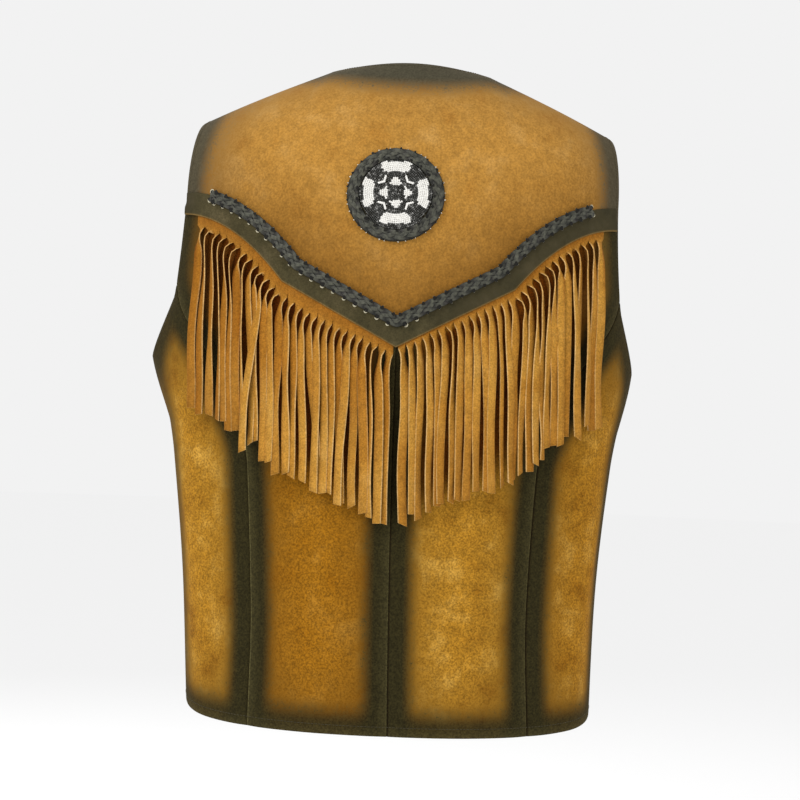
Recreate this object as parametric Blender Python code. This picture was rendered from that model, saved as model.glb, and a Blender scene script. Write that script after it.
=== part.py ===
"""Fringed suede vest, filled out as worn: pointed yoke, laced band, cut fringe and a beaded rosette.

Metres, +Z up. The wearer faces -Y, so the fringed back is on +Y, and +X is the wearer's left.
The origin is between the shoulders, half-way down the slope of the shoulder seams.
"""

import functools
import math
from collections import namedtuple

import bmesh
import bpy
from mathutils import Vector

for old in list(bpy.data.objects):
    bpy.data.objects.remove(old)

# Cloth
SUEDE = 0.0014
SEAM_GAP = 0.0003
LAYER_GAP = 0.0004
ROW_HEIGHTS = (0.0, 0.042, 0.084, 0.126, 0.168, 0.210, 0.250, 0.288, 0.318, 0.340, 0.344, 0.352, 0.366, 0.386)

# Body sections, from the hem to the shoulder blades. Heights are measured up the side from the hem.
# The drops lower or raise the middle of the back and of the front against the side.
HEM_Z = -0.604
Section = namedtuple("Section", "height half_width back_y front_y back_drop front_drop seam_angle")
SECTIONS = (
    Section(0.000, 0.2020, 0.1270, 0.1230, -0.015, -0.008, 40.8),
    Section(0.115, 0.2065, 0.1280, 0.1270, -0.012, -0.006, 39.2),
    Section(0.246, 0.2190, 0.1190, 0.1220, -0.008, -0.004, 40.0),
    Section(0.340, 0.2320, 0.1260, 0.1300, -0.004, -0.002, 50.5),
    Section(0.416, 0.2265, 0.1310, 0.1270, 0.000, 0.000, 77.0),
    Section(0.501, 0.2240, 0.1270, 0.1120, 0.005, 0.003, 90.0),
)
FLATNESS = 0.85
UNDERARM = 0.340
UNDERARM_FLARE_LEFT = 0.0130
UNDERARM_FLARE_RIGHT = 0.0060
FLARE_REACH = 0.060
ARMHOLE_BACK = 0.046
ARMHOLE_FRONT = 0.052
HEM_SWAY = 0.0055
HEM_SWAY_FROM = -0.250
NECK_SWAY = 0.0055
NECK_SWAY_FROM = -0.200

# Shoulders and neck
SHOULDER_HALF = 0.2025
SHOULDER_TIP_Z = -0.028
NECK_HALF = 0.077
NECK_CORNER_Z = 0.027
NECK_BACK_Y = 0.055
NECK_BACK_Z = 0.034
NAPE_TURN = 50.0
FRONT_V_Z = -0.345
FRONT_HALF_GAP = 0.002

# Soft folds and the dips along seams. Angles go round from the centre back, + to the wearer's left.
Fold = namedtuple("Fold", "angle z half_angle half_length height")
BACK_FOLDS = (
    Fold(63.0, -0.455, 8.0, 0.120, 0.0035),
    Fold(-64.0, -0.450, 8.0, 0.130, 0.0035),
    Fold(22.0, -0.470, 11.0, 0.110, 0.0020),
    Fold(-20.0, -0.500, 10.0, 0.100, 0.0018),
    Fold(48.0, -0.350, 7.0, 0.050, -0.0020),
    Fold(-49.0, -0.352, 7.0, 0.050, -0.0020),
)
FRONT_FOLDS = (
    Fold(58.0, -0.440, 9.0, 0.120, 0.0035),
    Fold(-56.0, -0.450, 9.0, 0.120, 0.0035),
    Fold(30.0, -0.180, 9.0, 0.070, 0.0025),
    Fold(-31.0, -0.185, 9.0, 0.070, 0.0025),
)
SEAM_DIP = 0.0012
SEAM_DIP_ANGLE = 3.2

# Yoke line: the lower edge of the band, straight from the point to a corner, then eased to the armhole
YOKE_POINT_Z = -0.248
YOKE_CORNER_X = 0.111
YOKE_CORNER_Z = -0.189
YOKE_END_X = 0.2155
YOKE_END_Z = -0.124
YOKE_SEAM_RISE = 0.009
YOKE_STOPS = [0.0, 0.12, 0.23, 0.32, NECK_HALF / SHOULDER_HALF, 0.46, 0.56, 0.67, 0.78, 0.89, 0.9995]

# Band and lacing, as rises above the yoke line
BAND_REACH = 0.2105
BAND_WIDTH = 0.022
BAND_THICK = 0.0012
BAND_EASE_FROM = 0.006
BAND_EASE_TO = 0.013
LACING_LOW = 0.0155
LACING_HIGH = 0.0275
LACING_REACH = 0.192
LACING_THICK = 0.0016
LACING_CROWN = 0.0010
LACING_PITCH = 0.012

# Fringe
STRANDS = 28
STRIP_ABOVE = 0.004
STRIP_BELOW = 0.007
FRINGE_THICK = 0.0012
FRINGE_FROM_X = 0.002
FRINGE_TO_X = 0.1975
SLIT = 0.0009
STRAND_LENGTH_INNER = 0.168
STRAND_LENGTH_OUTER = 0.178
STRAND_BEND = 0.026
STRAND_LEAN = 0.75
STRAND_RUNS = (0.0, 0.006, 0.013, 0.021, 0.032, 0.075, 0.125)
STRAND_STEP = 0.001
STRAND_STAND_OFF = 0.0046

# Rosette
ROSETTE_X = 0.0058
ROSETTE_Z = -0.1035
ROSETTE_SQUASH = 0.957
ROSETTE_RADIUS = 0.0465
ROSETTE_BACKING = 0.0014
RIM_INNER = 0.0345
RIM_OUTER = 0.0462
RIM_THICK = 0.0018
RIM_CROWN = 0.0012
RIM_STITCHES = 30
BEADS_RADIUS = 0.0338
BEADS_THICK = 0.0016
BEADS_DOME = 0.0008

TAN = (0.48, 0.24, 0.045, 1.0)
LIGHT_TAN = (0.55, 0.29, 0.07, 1.0)
DARK_OLIVE = (0.07, 0.06, 0.036, 1.0)
SLATE = (0.06, 0.07, 0.08, 1.0)
BEAD_BLACK = (0.02, 0.02, 0.022, 1.0)


def lerp(a, b, share):
    """Value at a share of the way from a to b."""
    return a + (b - a) * share


def ease(share):
    """Smooth step from 0 to 1."""
    share = min(max(share, 0.0), 1.0)
    return share * share * (3.0 - 2.0 * share)


def slopes(knots, values):
    """Tangents of a curve through values that never overshoots them."""
    steps = [(values[i + 1] - values[i]) / (knots[i + 1] - knots[i]) for i in range(len(knots) - 1)]
    inner = [2.0 * a * b / (a + b) if a * b > 0.0 else 0.0 for a, b in zip(steps, steps[1:])]
    return [steps[0]] + inner + [steps[-1]]


HEIGHTS = [row.height for row in SECTIONS]
TANGENTS = {name: slopes(HEIGHTS, [getattr(row, name) for row in SECTIONS]) for name in Section._fields}


@functools.lru_cache(maxsize=None)
def section_at(height):
    """The body section at a height above the hem."""
    low = max(i for i in range(len(HEIGHTS) - 1) if HEIGHTS[i] <= height or i == 0)
    span = HEIGHTS[low + 1] - HEIGHTS[low]
    u = (height - HEIGHTS[low]) / span
    blends = (
        2 * u**3 - 3 * u**2 + 1,
        (u**3 - 2 * u**2 + u) * span,
        3 * u**2 - 2 * u**3,
        (u**3 - u**2) * span,
    )
    values = []
    for name in Section._fields:
        ends = (
            getattr(SECTIONS[low], name),
            TANGENTS[name][low],
            getattr(SECTIONS[low + 1], name),
            TANGENTS[name][low + 1],
        )
        values.append(sum(a * b for a, b in zip(blends, ends)))
    return Section(*values)


def edge_angle(height, front):
    """Angle round from the middle at which a panel ends: the side seam, or the armhole above it."""
    if height <= UNDERARM:
        return math.pi / 2
    row = section_at(height)
    rise = min((height - UNDERARM) / (HEIGHTS[-1] - UNDERARM), 1.0)
    cut = (ARMHOLE_FRONT if front else ARMHOLE_BACK) * math.sqrt(rise * (2.0 - rise))
    depth = row.front_y if front else row.back_y
    return math.acos((cut / depth) ** (1.0 / FLATNESS))


def torso(s, t, front):
    """Point of the body form: s across from the middle (0) to the edge (1), t up from the hem."""
    height = t * HEIGHTS[-1]
    row = section_at(height)
    a = abs(s)
    angle = edge_angle(height, front) * a
    depth = row.front_y if front else row.back_y
    drop = row.front_drop if front else row.back_drop
    flare = UNDERARM_FLARE_LEFT if s > 0.0 else UNDERARM_FLARE_RIGHT
    flare *= max(0.0, 1.0 - abs(height - UNDERARM) / FLARE_REACH) * a**6
    x = row.half_width * math.sin(angle) + flare
    y = depth * max(math.cos(angle), 0.0) ** FLATNESS
    z = HEM_Z + height + drop * (1.0 - a**3)
    return Vector((math.copysign(x, s), -y if front else y, z))


def ridge(s):
    """Top edge: the back of the neck, then the line of the shoulder seam."""
    x = abs(s) * SHOULDER_HALF
    if x < NECK_HALF:
        share = x / NECK_HALF
        y = NECK_BACK_Y * (1.0 - share * share) ** 0.7
        z = lerp(NECK_BACK_Z, NECK_CORNER_Z, share * share)
    else:
        y = 0.0
        z = lerp(NECK_CORNER_Z, SHOULDER_TIP_Z, (x - NECK_HALF) / (SHOULDER_HALF - NECK_HALF))
    return Vector((math.copysign(x, s), y, z))


def form(s, t, front):
    """Body form from the hem (t 0) by the shoulder blades (t 1) to the neck and shoulder seams (t 2)."""
    if t <= 1.0:
        point = torso(s, t, front)
    else:
        start = torso(s, 1.0, front)
        end = ridge(s)
        turn = math.radians(lerp(NAPE_TURN, 90.0, ease(abs(s) * SHOULDER_HALF / NECK_HALF)))
        angle = (t - 1.0) * turn
        over = (1.0 - math.cos(angle)) / (1.0 - math.cos(turn))
        up = math.sin(angle) / math.sin(turn)
        point = Vector((lerp(start.x, end.x, over), lerp(start.y, end.y, over), lerp(start.z, end.z, up)))
    low = max(0.0, HEM_SWAY_FROM - point.z) / (HEM_SWAY_FROM - HEM_Z)
    high = max(0.0, point.z - NECK_SWAY_FROM) / (NECK_BACK_Z - NECK_SWAY_FROM)
    point.x -= HEM_SWAY * low * low + NECK_SWAY * high * high
    return point


def out_from(s, t, front):
    """Outward unit normal of the body form."""
    step = 2e-4
    across = form(min(s + step, 1.0), t, front) - form(max(s - step, -1.0), t, front)
    up = form(s, min(t + step, 2.0), front) - form(s, max(t - step, 0.0), front)
    normal = across.cross(up) if front else up.cross(across)
    return normal.normalized()


def relief(s, t, front):
    """Height of the soft folds, less the dips along the back seams."""
    height = min(t, 1.0) * HEIGHTS[-1]
    angle = math.degrees(edge_angle(height, front)) * s
    z = HEM_Z + height
    total = 0.0
    for fold in FRONT_FOLDS if front else BACK_FOLDS:
        across = (angle - fold.angle) / fold.half_angle
        along = (z - fold.z) / fold.half_length
        total += fold.height * math.exp(-across * across - along * along)
    if not front:
        fade = 1.0 - ease((z - YOKE_POINT_Z + 0.03) / 0.03)
        side = (abs(angle) - section_at(height).seam_angle) / SEAM_DIP_ANGLE
        middle = angle / SEAM_DIP_ANGLE
        total -= SEAM_DIP * fade * (math.exp(-middle * middle) + math.exp(-side * side))
    return total


def on_back(s, t, lift):
    """Point on the back, lifted off the cloth's face."""
    return form(s, t, False) + out_from(s, t, False) * (relief(s, t, False) + lift)


def on_front(s, t, lift):
    """Point on the fronts, lifted off the cloth's face."""
    return form(s, t, True) + out_from(s, t, True) * (relief(s, t, True) + lift)


def solve(low, high, error):
    """Where a rising error passes zero."""
    for _ in range(44):
        middle = (low + high) / 2.0
        if error(middle) > 0.0:
            high = middle
        else:
            low = middle
    return (low + high) / 2.0


def find_on_back(x, z):
    """The (s, t) of the back's form at a place seen from behind."""
    s = max(min(x / YOKE_END_X, 0.99), -0.99)
    t = max(min((z - HEM_Z) / HEIGHTS[-1], 1.9), 0.01)
    step = 1e-4
    for _ in range(24):
        here = form(s, t, False)
        side = step if s < 0.9 else -step
        by_s = (form(s + side, t, False) - here) / side
        by_t = (form(s, t + step, False) - here) / step
        size = by_s.x * by_t.z - by_t.x * by_s.z
        dx, dz = x - here.x, z - here.z
        s += max(min((dx * by_t.z - dz * by_t.x) / size, 0.1), -0.1)
        t += max(min((dz * by_s.x - dx * by_s.z) / size, 0.1), -0.1)
        s = max(min(s, 0.9985), -0.9985)
        t = max(min(t, 1.98), 0.001)
    return s, t


def yoke_line(x):
    """Height of the yoke line at a distance across the back."""
    a = abs(x)
    if a < YOKE_CORNER_X:
        return lerp(YOKE_POINT_Z, YOKE_CORNER_Z, a / YOKE_CORNER_X)
    rest = 1.0 - (a - YOKE_CORNER_X) / (YOKE_END_X - YOKE_CORNER_X)
    return lerp(YOKE_CORNER_Z, YOKE_END_Z, 1.0 - rest * abs(rest))


def yoke_slope(x):
    """Angle of the yoke line."""
    step = 1e-5
    return math.atan((yoke_line(x + step) - yoke_line(x - step)) / (2.0 * step))


@functools.lru_cache(maxsize=None)
def raised_line(x, rise):
    """Height at x of the yoke line moved up, or down, square to itself."""
    reach = abs(rise)
    sign = math.copysign(1.0, rise)
    count = 60
    heights = []
    for i in range(count + 1):
        aside = lerp(-reach, reach, i / count)
        heights.append(yoke_line(x + aside) * sign + math.sqrt(reach * reach - aside * aside))
    return max(heights) * sign


def on_line(x, rise, lift):
    """Point on the back at a rise above the yoke line, lifted off the cloth."""
    s, t = find_on_back(x, raised_line(x, rise))
    return on_back(s, t, lift)


def seam_t(across_at, rise):
    """The t at which a column of the back, s given by t, reaches the yoke seam."""

    def error(t):
        point = form(across_at(t), t, False)
        return point.z - raised_line(point.x, rise)

    return solve(0.3, 1.2, error)


def inset(s, t, front, gap):
    """The s that lies a gap nearer to the middle."""
    step = 1e-3
    near = form(s - step, t, front)
    return s - gap * step / (form(s, t, front) - near).length


def seam_s(t):
    """The s of the shaped side-back seam, which runs out at the armhole."""
    height = t * HEIGHTS[-1]
    return min(math.radians(section_at(height).seam_angle) / edge_angle(height, False), 1.0)


def spread_over(stops, u):
    """Place among listed stops, a step to each interval."""
    place = u * (len(stops) - 1)
    i = min(int(place), len(stops) - 2)
    return lerp(stops[i], stops[i + 1], place - i)


def material(name, colour, roughness):
    """A plain material of one colour."""
    made = bpy.data.materials.new(name)
    made.use_nodes = True
    shader = made.node_tree.nodes["Principled BSDF"]
    shader.inputs["Base Color"].default_value = colour
    shader.inputs["Roughness"].default_value = roughness
    return made


def build_wall(name, columns, rows, outer, inner, finish, cut=None, bend=None):
    """A wall of cloth: a grid is cut and bent as asked, extruded, and each skin put in its place.

    The outer and inner places are given from the grid's own coordinates, 0 to 1 both ways, or
    from the bent ones.
    """
    grid = bmesh.new()
    bmesh.ops.create_grid(grid, x_segments=columns, y_segments=rows, size=0.5)
    bmesh.ops.translate(grid, verts=grid.verts, vec=(0.5, 0.5, 0.0))
    if cut:
        waste = [face for face in grid.faces if cut(*face.calc_center_median().xy)]
        bmesh.ops.delete(grid, geom=waste, context="FACES")
    if bend:
        for vert in grid.verts:
            vert.co.xy = bend(*vert.co.xy)
        bmesh.ops.remove_doubles(grid, verts=grid.verts, dist=1e-6)
    front_skin = list(grid.verts)
    made = bmesh.ops.extrude_face_region(grid, geom=grid.faces[:], use_keep_orig=True)
    back_skin = [item for item in made["geom"] if isinstance(item, bmesh.types.BMVert)]
    for skin, place in ((front_skin, outer), (back_skin, inner)):
        for vert in skin:
            vert.co = place(*vert.co.xy)
    bmesh.ops.recalc_face_normals(grid, faces=grid.faces)
    mesh = bpy.data.meshes.new(name)
    grid.to_mesh(mesh)
    grid.free()
    mesh.materials.append(finish)
    piece = bpy.data.objects.new(name, mesh)
    vest.objects.link(piece)
    return piece


def build_panel(name, columns, rows, place, on_face, finish):
    """A panel one suede thick, from the (s, t) of each of its own coordinates."""
    build_wall(
        name,
        columns,
        rows,
        lambda u, v: on_face(*place(u, v), 0.0),
        lambda u, v: on_face(*place(u, v), -SUEDE),
        finish,
    )


def yoke_bottom(s, rise):
    """The t at which the yoke seam crosses the back at s."""
    return seam_t(lambda t: s, rise)


def build_yoke(finish):
    """The pointed yoke, from the V seam to the neck and shoulder seams."""
    stops = [-s for s in reversed(YOKE_STOPS[1:])] + YOKE_STOPS
    bottoms = {s: yoke_bottom(s, YOKE_SEAM_RISE + SEAM_GAP / 2.0) for s in stops}

    def place(u, v):
        s = stops[round(u * (len(stops) - 1))]
        return s, lerp(bottoms[s], 1.9985, v)

    build_panel("back_yoke", len(stops) - 1, 13, place, on_back, finish)


def side_panel_levels():
    """The t of each row of a side-back panel, the last where it has narrowed to a blunt tip."""
    blunt = 0.0035
    top = solve(0.5, 0.84, lambda t: blunt - (1.0 - seam_s(t)) * 0.33)
    return [height / HEIGHTS[-1] for height in ROW_HEIGHTS] + [top]


def build_centre_panel(name, side, finish):
    """A centre-back panel, from the hem up to the V seam and out to the shaped seam and armhole.

    Its columns meet those of the yoke along the V seam, and its rows those of the side panel.
    """
    inner = SEAM_GAP / (0.2 * math.pi)
    levels = side_panel_levels()
    shared = levels.index(UNDERARM / HEIGHTS[-1]) - 1
    tops = [yoke_bottom(side * s, YOKE_SEAM_RISE - SEAM_GAP / 2.0) for s in YOKE_STOPS]
    outer_levels = levels + [lerp(levels[-1], tops[-1], 0.5), tops[-1]]
    rows = len(outer_levels) - 1

    def outer(t):
        return inset(seam_s(t), t, False, SEAM_GAP / 2.0)

    shares = [max(s - inner, 0.0) / (outer(t) - inner) for s, t in zip(YOKE_STOPS, tops)]
    shares[-1] = 1.0

    def place(u, v):
        column = round(u * (len(YOKE_STOPS) - 1))
        row = round(v * rows)
        if row <= shared:
            t = levels[row]
        else:
            up = (outer_levels[row] - levels[shared]) / (tops[-1] - levels[shared])
            t = lerp(levels[shared], tops[column], up)
        return side * lerp(inner, outer(t), shares[column]), t

    build_panel(name, len(YOKE_STOPS) - 1, rows, place, on_back, finish)


def build_side_panel(name, side, finish):
    """A side-back panel, which runs out to a point where the shaped seam meets the armhole."""
    levels = side_panel_levels()

    def place(u, v):
        t = levels[round(v * (len(levels) - 1))]
        inner = inset(seam_s(t), t, False, -SEAM_GAP / 2.0)
        outer = inset(1.0, t, False, SEAM_GAP / 2.0)
        return side * lerp(inner, outer, u), t

    build_panel(name, 6, len(levels) - 1, place, on_back, finish)


def neckline_s(t):
    """The s of a front's inner edge: the opening below, the V of the neck above."""

    def error(s):
        point = form(s, t, True)
        share = (point.z - FRONT_V_Z) / (NECK_CORNER_Z - FRONT_V_Z)
        return point.x - max(FRONT_HALF_GAP, NECK_HALF * share)

    sway = form(0.0, t, True).x
    if form(0.0, t, True).z < FRONT_V_Z:
        return solve(0.0, 0.2, lambda s: form(s, t, True).x - sway - FRONT_HALF_GAP)
    return solve(0.0, 0.6, error)


def build_front(name, side, finish):
    """A front, plain, from the hem to the shoulder seam."""
    levels = [height / HEIGHTS[-1] for height in ROW_HEIGHTS + (0.412, 0.440, 0.470)]
    levels += [1.0 + 0.9985 * i / 7.0 for i in range(8)]
    inner_edges = {t: neckline_s(t) for t in levels}

    def place(u, v):
        t = levels[round(v * (len(levels) - 1))]
        outer = inset(1.0, t, True, SEAM_GAP / 2.0)
        return side * lerp(inner_edges[t], outer, u), t

    build_panel(name, 10, len(levels) - 1, place, on_front, finish)


def band_lift(rise):
    """Height of the band's underside: over the fringe's strip below, close to the yoke above."""
    over_strip = LAYER_GAP + FRINGE_THICK + LAYER_GAP
    share = ease((rise - BAND_EASE_FROM) / (BAND_EASE_TO - BAND_EASE_FROM))
    return lerp(over_strip, LAYER_GAP, share)


def build_band(finish):
    """The dark band along the yoke line."""
    rises = [0.0, BAND_EASE_FROM, 0.0095, BAND_EASE_TO, BAND_WIDTH]
    columns = 56

    def place(u, v, thick):
        x = lerp(-1.0, 1.0, u) * BAND_REACH
        rise = spread_over(rises, v)
        return on_line(x, rise, band_lift(rise) + thick)

    build_wall(
        "yoke_band",
        columns,
        len(rises) - 1,
        lambda u, v: place(u, v, BAND_THICK),
        lambda u, v: place(u, v, 0.0),
        finish,
    )


def build_lacing(finish):
    """The plaited lacing over the band's upper edge, crowned where a turn of the thong crosses."""
    rises = [LACING_LOW, 0.0190, BAND_WIDTH + 0.0005, 0.0245, LACING_HIGH]
    floor = [LAYER_GAP + BAND_THICK + LAYER_GAP] * 3 + [LAYER_GAP * 2.0, LAYER_GAP]
    columns = round(4.0 * LACING_REACH / LACING_PITCH)

    def place(u, v, crowned):
        x = lerp(-1.0, 1.0, u) * LACING_REACH
        rise = spread_over(rises, v)
        lift = spread_over(floor, v)
        if crowned:
            middle = math.sin(math.pi * v)
            wave = math.cos(math.pi * x / LACING_PITCH)
            lift = floor[0] + LACING_THICK * (0.45 + 0.55 * middle) + LACING_CROWN * middle * wave * wave
        return on_line(x, rise, lift)

    build_wall(
        "yoke_lacing",
        columns,
        len(rises) - 1,
        lambda u, v: place(u, v, True),
        lambda u, v: place(u, v, False),
        finish,
    )


def strip_lengths(count):
    """The x of equal steps along the yoke line, over the length of one half of the fringe."""
    samples = 600
    xs = [lerp(FRINGE_FROM_X, FRINGE_TO_X, i / samples) for i in range(samples + 1)]
    runs = [0.0]
    for a, b in zip(xs, xs[1:]):
        runs.append(runs[-1] + math.hypot(b - a, yoke_line(b) - yoke_line(a)))
    stops = []
    i = 0
    for k in range(count + 1):
        want = runs[-1] * k / count
        while i < samples - 1 and runs[i + 1] < want:
            i += 1
        stops.append(lerp(xs[i], xs[i + 1], (want - runs[i]) / (runs[i + 1] - runs[i])))
    return stops, runs[-1] / count


Strand = namedtuple("Strand", "centres widths normals")


def hang_strand(x, side, half_width, number):
    """Centre line of a strand, with its half-width and face directions at each of its rows.

    It leaves square to the yoke line, turns on edge as it bends to the vertical, drapes over the
    back, then hangs straight.
    """
    slope = yoke_slope(x)
    z = raised_line(x, -STRIP_BELOW)
    s, t = find_on_back(x, z)
    outward = out_from(s, t, False)
    level_out = Vector((outward.x, outward.y, 0.0)).normalized()
    level_along = Vector((level_out.y, -level_out.x, 0.0))
    uneven = math.sin(number * 2.4) * 0.6 + math.sin(number * 5.1 + 1.0) * 0.4
    length = lerp(STRAND_LENGTH_INNER, STRAND_LENGTH_OUTER, abs(x) / FRINGE_TO_X) * (1.0 + 0.015 * uneven)
    needed = math.acos(min(0.93, math.cos(slope) * 0.90))
    settled = needed + math.radians(9.0) * (uneven + 1.0)
    place = Vector((x, 0.0, z))
    reach = -1.0
    run = 0.0
    centres, widths, normals = [], [], []
    for stop in STRAND_RUNS + (length,):
        while True:
            lean = slope * STRAND_LEAN * (1.0 - ease(run / STRAND_BEND))
            face = on_back(*find_on_back(place.x, place.z), 0.0)
            clear = lerp(LAYER_GAP + FRINGE_THICK / 2.0, STRAND_STAND_OFF, ease(run / 0.016))
            reach = max(reach, face.y + clear / max(level_out.y, 0.5))
            step = min(STRAND_STEP if run < STRAND_BEND else STRAND_STEP * 6.0, stop - run)
            if step <= 0.0:
                break
            place.x += step * math.sin(lean)
            place.z -= step * math.cos(lean)
            run += step
        twist = settled * ease(run / (STRAND_BEND * 0.7))
        down = Vector((0.0, 0.0, -math.cos(lean))) + level_along * math.sin(lean)
        flat = level_along * math.cos(lean) + Vector((0.0, 0.0, math.sin(lean)))
        wide = flat * math.cos(twist) + level_out * (math.sin(twist) * side)
        centres.append(Vector((place.x, reach, place.z)))
        widths.append(wide.normalized() * half_width)
        normals.append(wide.cross(down).normalized())
    return Strand(centres, widths, normals)


def build_fringe(name, side, finish):
    """One half of the fringe: a strip slit into strands below the yoke line."""
    stops, pitch = strip_lengths(STRANDS)
    half = (pitch - SLIT) / 2.0
    share = SLIT / pitch / 2.0
    strands = []
    edges = []
    for k in range(STRANDS):
        low, high = stops[k], stops[k + 1]
        middle = side * (low + high) / 2.0
        strands.append(hang_strand(middle, side, half, k + (0 if side > 0 else 40)))
        edges += [lerp(low, high, share), lerp(low, high, 1.0 - share)]
    columns = 2 * STRANDS - 1
    strand_rows = len(STRAND_RUNS)
    rows = strand_rows + 1

    def is_slit(u, v):
        return v < strand_rows / rows and int(u * columns) % 2 == 1

    def place(u, v, thick):
        i = round(u * columns)
        row = strand_rows - round(v * rows)
        if row <= 0:
            rise = STRIP_ABOVE if row < 0 else -STRIP_BELOW
            return on_line(side * edges[i], rise, LAYER_GAP + thick)
        strand = strands[i // 2]
        toward = side if i % 2 else -side
        middle = FRINGE_THICK / 2.0
        return strand.centres[row] + strand.widths[row] * toward + strand.normals[row] * (thick - middle)

    build_wall(
        name,
        columns,
        rows,
        lambda u, v: place(u, v, FRINGE_THICK),
        lambda u, v: place(u, v, 0.0),
        finish,
        cut=is_slit,
    )


def on_rosette(x, z, lift):
    """Point on the yoke at an offset from the rosette's middle."""
    s, t = find_on_back(ROSETTE_X + x, ROSETTE_Z + ROSETTE_SQUASH * z)
    return on_back(s, t, lift)


def build_rosette(leather, slate, beads):
    """Leather backing, whip-laced rim and domed bead field, one on another."""

    def ring(inner, outer):
        def bend(u, v):
            angle = 2.0 * math.pi * u
            radius = lerp(inner, outer, v)
            return radius * math.cos(angle), radius * math.sin(angle)

        return bend

    first = LAYER_GAP
    second = first + ROSETTE_BACKING + LAYER_GAP

    def rim_top(x, z):
        share = (math.hypot(x, z) - RIM_INNER) / (RIM_OUTER - RIM_INNER)
        hump = math.sin(math.pi * share)
        turn = math.cos(math.atan2(z, x) * RIM_STITCHES / 2.0)
        return RIM_THICK * (0.5 + 0.5 * hump) + RIM_CROWN * hump * turn * turn

    def bead_top(x, z):
        share = math.hypot(x, z) / BEADS_RADIUS
        return BEADS_THICK + BEADS_DOME * (1.0 - share * share)

    build_wall(
        "rosette_backing",
        32,
        4,
        lambda x, z: on_rosette(x, z, first + ROSETTE_BACKING),
        lambda x, z: on_rosette(x, z, first),
        leather,
        bend=ring(0.0, ROSETTE_RADIUS),
    )
    build_wall(
        "rosette_rim",
        2 * RIM_STITCHES,
        3,
        lambda x, z: on_rosette(x, z, second + rim_top(x, z)),
        lambda x, z: on_rosette(x, z, second),
        slate,
        bend=ring(RIM_INNER, RIM_OUTER),
    )
    build_wall(
        "rosette_beads",
        28,
        3,
        lambda x, z: on_rosette(x, z, second + bead_top(x, z)),
        lambda x, z: on_rosette(x, z, second),
        beads,
        bend=ring(0.0, BEADS_RADIUS),
    )


vest = bpy.data.collections.new("fringed_vest")
bpy.context.scene.collection.children.link(vest)

tan_suede = material("tan_suede", TAN, 0.92)
yoke_suede = material("yoke_suede", LIGHT_TAN, 0.92)
dark_suede = material("dark_suede", DARK_OLIVE, 0.88)
laced_leather = material("laced_leather", SLATE, 0.60)
bead_glass = material("bead_glass", BEAD_BLACK, 0.30)

build_yoke(yoke_suede)
build_centre_panel("back_centre_left", 1, tan_suede)
build_centre_panel("back_centre_right", -1, tan_suede)
build_side_panel("back_side_left", 1, tan_suede)
build_side_panel("back_side_right", -1, tan_suede)
build_front("front_left", 1, tan_suede)
build_front("front_right", -1, tan_suede)
build_band(dark_suede)
build_lacing(laced_leather)
build_fringe("fringe_left", 1, yoke_suede)
build_fringe("fringe_right", -1, yoke_suede)
build_rosette(dark_suede, laced_leather, bead_glass)
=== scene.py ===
"""Fringed suede vest: shaded suede, cut fringe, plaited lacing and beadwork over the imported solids.

Metres, +Z up. The wearer faces -Y, so the fringed back is on +Y, and +X is the wearer's left. On the body
form s goes across from -1 to 1, and t goes up: 0 is the hem, 1 the top of the trunk and 2 the shoulders.
"""

from __future__ import annotations

import logging
import math
from dataclasses import dataclass, replace
from enum import Enum, IntEnum
from typing import Callable, Sequence

import bpy
import numpy as np
from mathutils import Matrix

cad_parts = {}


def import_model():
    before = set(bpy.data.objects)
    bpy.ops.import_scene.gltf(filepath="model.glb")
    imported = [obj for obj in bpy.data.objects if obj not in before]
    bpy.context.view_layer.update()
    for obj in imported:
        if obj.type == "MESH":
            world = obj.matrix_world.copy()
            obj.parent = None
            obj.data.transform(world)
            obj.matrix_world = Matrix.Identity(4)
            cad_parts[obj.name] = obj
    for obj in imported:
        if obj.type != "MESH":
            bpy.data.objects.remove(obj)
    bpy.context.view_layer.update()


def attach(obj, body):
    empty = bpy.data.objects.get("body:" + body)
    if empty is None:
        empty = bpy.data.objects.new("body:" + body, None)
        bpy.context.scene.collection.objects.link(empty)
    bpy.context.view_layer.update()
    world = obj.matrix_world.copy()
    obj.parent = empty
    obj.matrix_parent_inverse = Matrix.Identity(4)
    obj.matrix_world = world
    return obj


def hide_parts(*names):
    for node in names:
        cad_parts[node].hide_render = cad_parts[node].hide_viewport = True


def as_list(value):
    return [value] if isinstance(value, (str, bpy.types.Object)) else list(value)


LOG = logging.getLogger("fringed_vest")
Array = np.ndarray
Numbers = Array | float
Pair = tuple[Array, Array]
Surface = tuple[Array, list[tuple[int, ...]]]
Colour = tuple[float, float, float, float]
Mesh = bpy.types.Mesh
Piece = bpy.types.Object
Socket = bpy.types.NodeSocket
Tree = bpy.types.NodeTree
Inputs = dict[str | int, object]
Marks = tuple[tuple[float, float], ...]
Values = dict[str, Array]
SkinValues = dict[str, tuple[Array, Array, Array]]

TAU = 2.0 * np.pi
UP = np.array([0.0, 0.0, 1.0])
HALVINGS = 44


def srgb(code: str) -> Colour:
    """Turns a display colour into the linear one that shaders take.

    Args:
        code: Six hex digits.

    Returns:
        The linear colour, with an alpha of 1.
    """
    shares = [value / 255.0 for value in bytes.fromhex(code)]
    linear = [v / 12.92 if v <= 0.04045 else ((v + 0.055) / 1.055) ** 2.4 for v in shares]
    return (linear[0], linear[1], linear[2], 1.0)


def lerp(low: Numbers, high: Numbers, share: Numbers) -> Array:
    """Blends two values, from the low one at a share of 0 to the high one at 1."""
    return low + (high - low) * share


def ease(share: Numbers) -> Array:
    """Smooth step of a share, which is held to 0 to 1."""
    share = np.clip(share, 0.0, 1.0)
    return share * share * (3.0 - 2.0 * share)


def rising(value: Numbers, start: Numbers, length: Numbers) -> Array:
    """Eases from 0 to 1 over a length that begins at the start."""
    return ease((value - start) / length)


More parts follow.
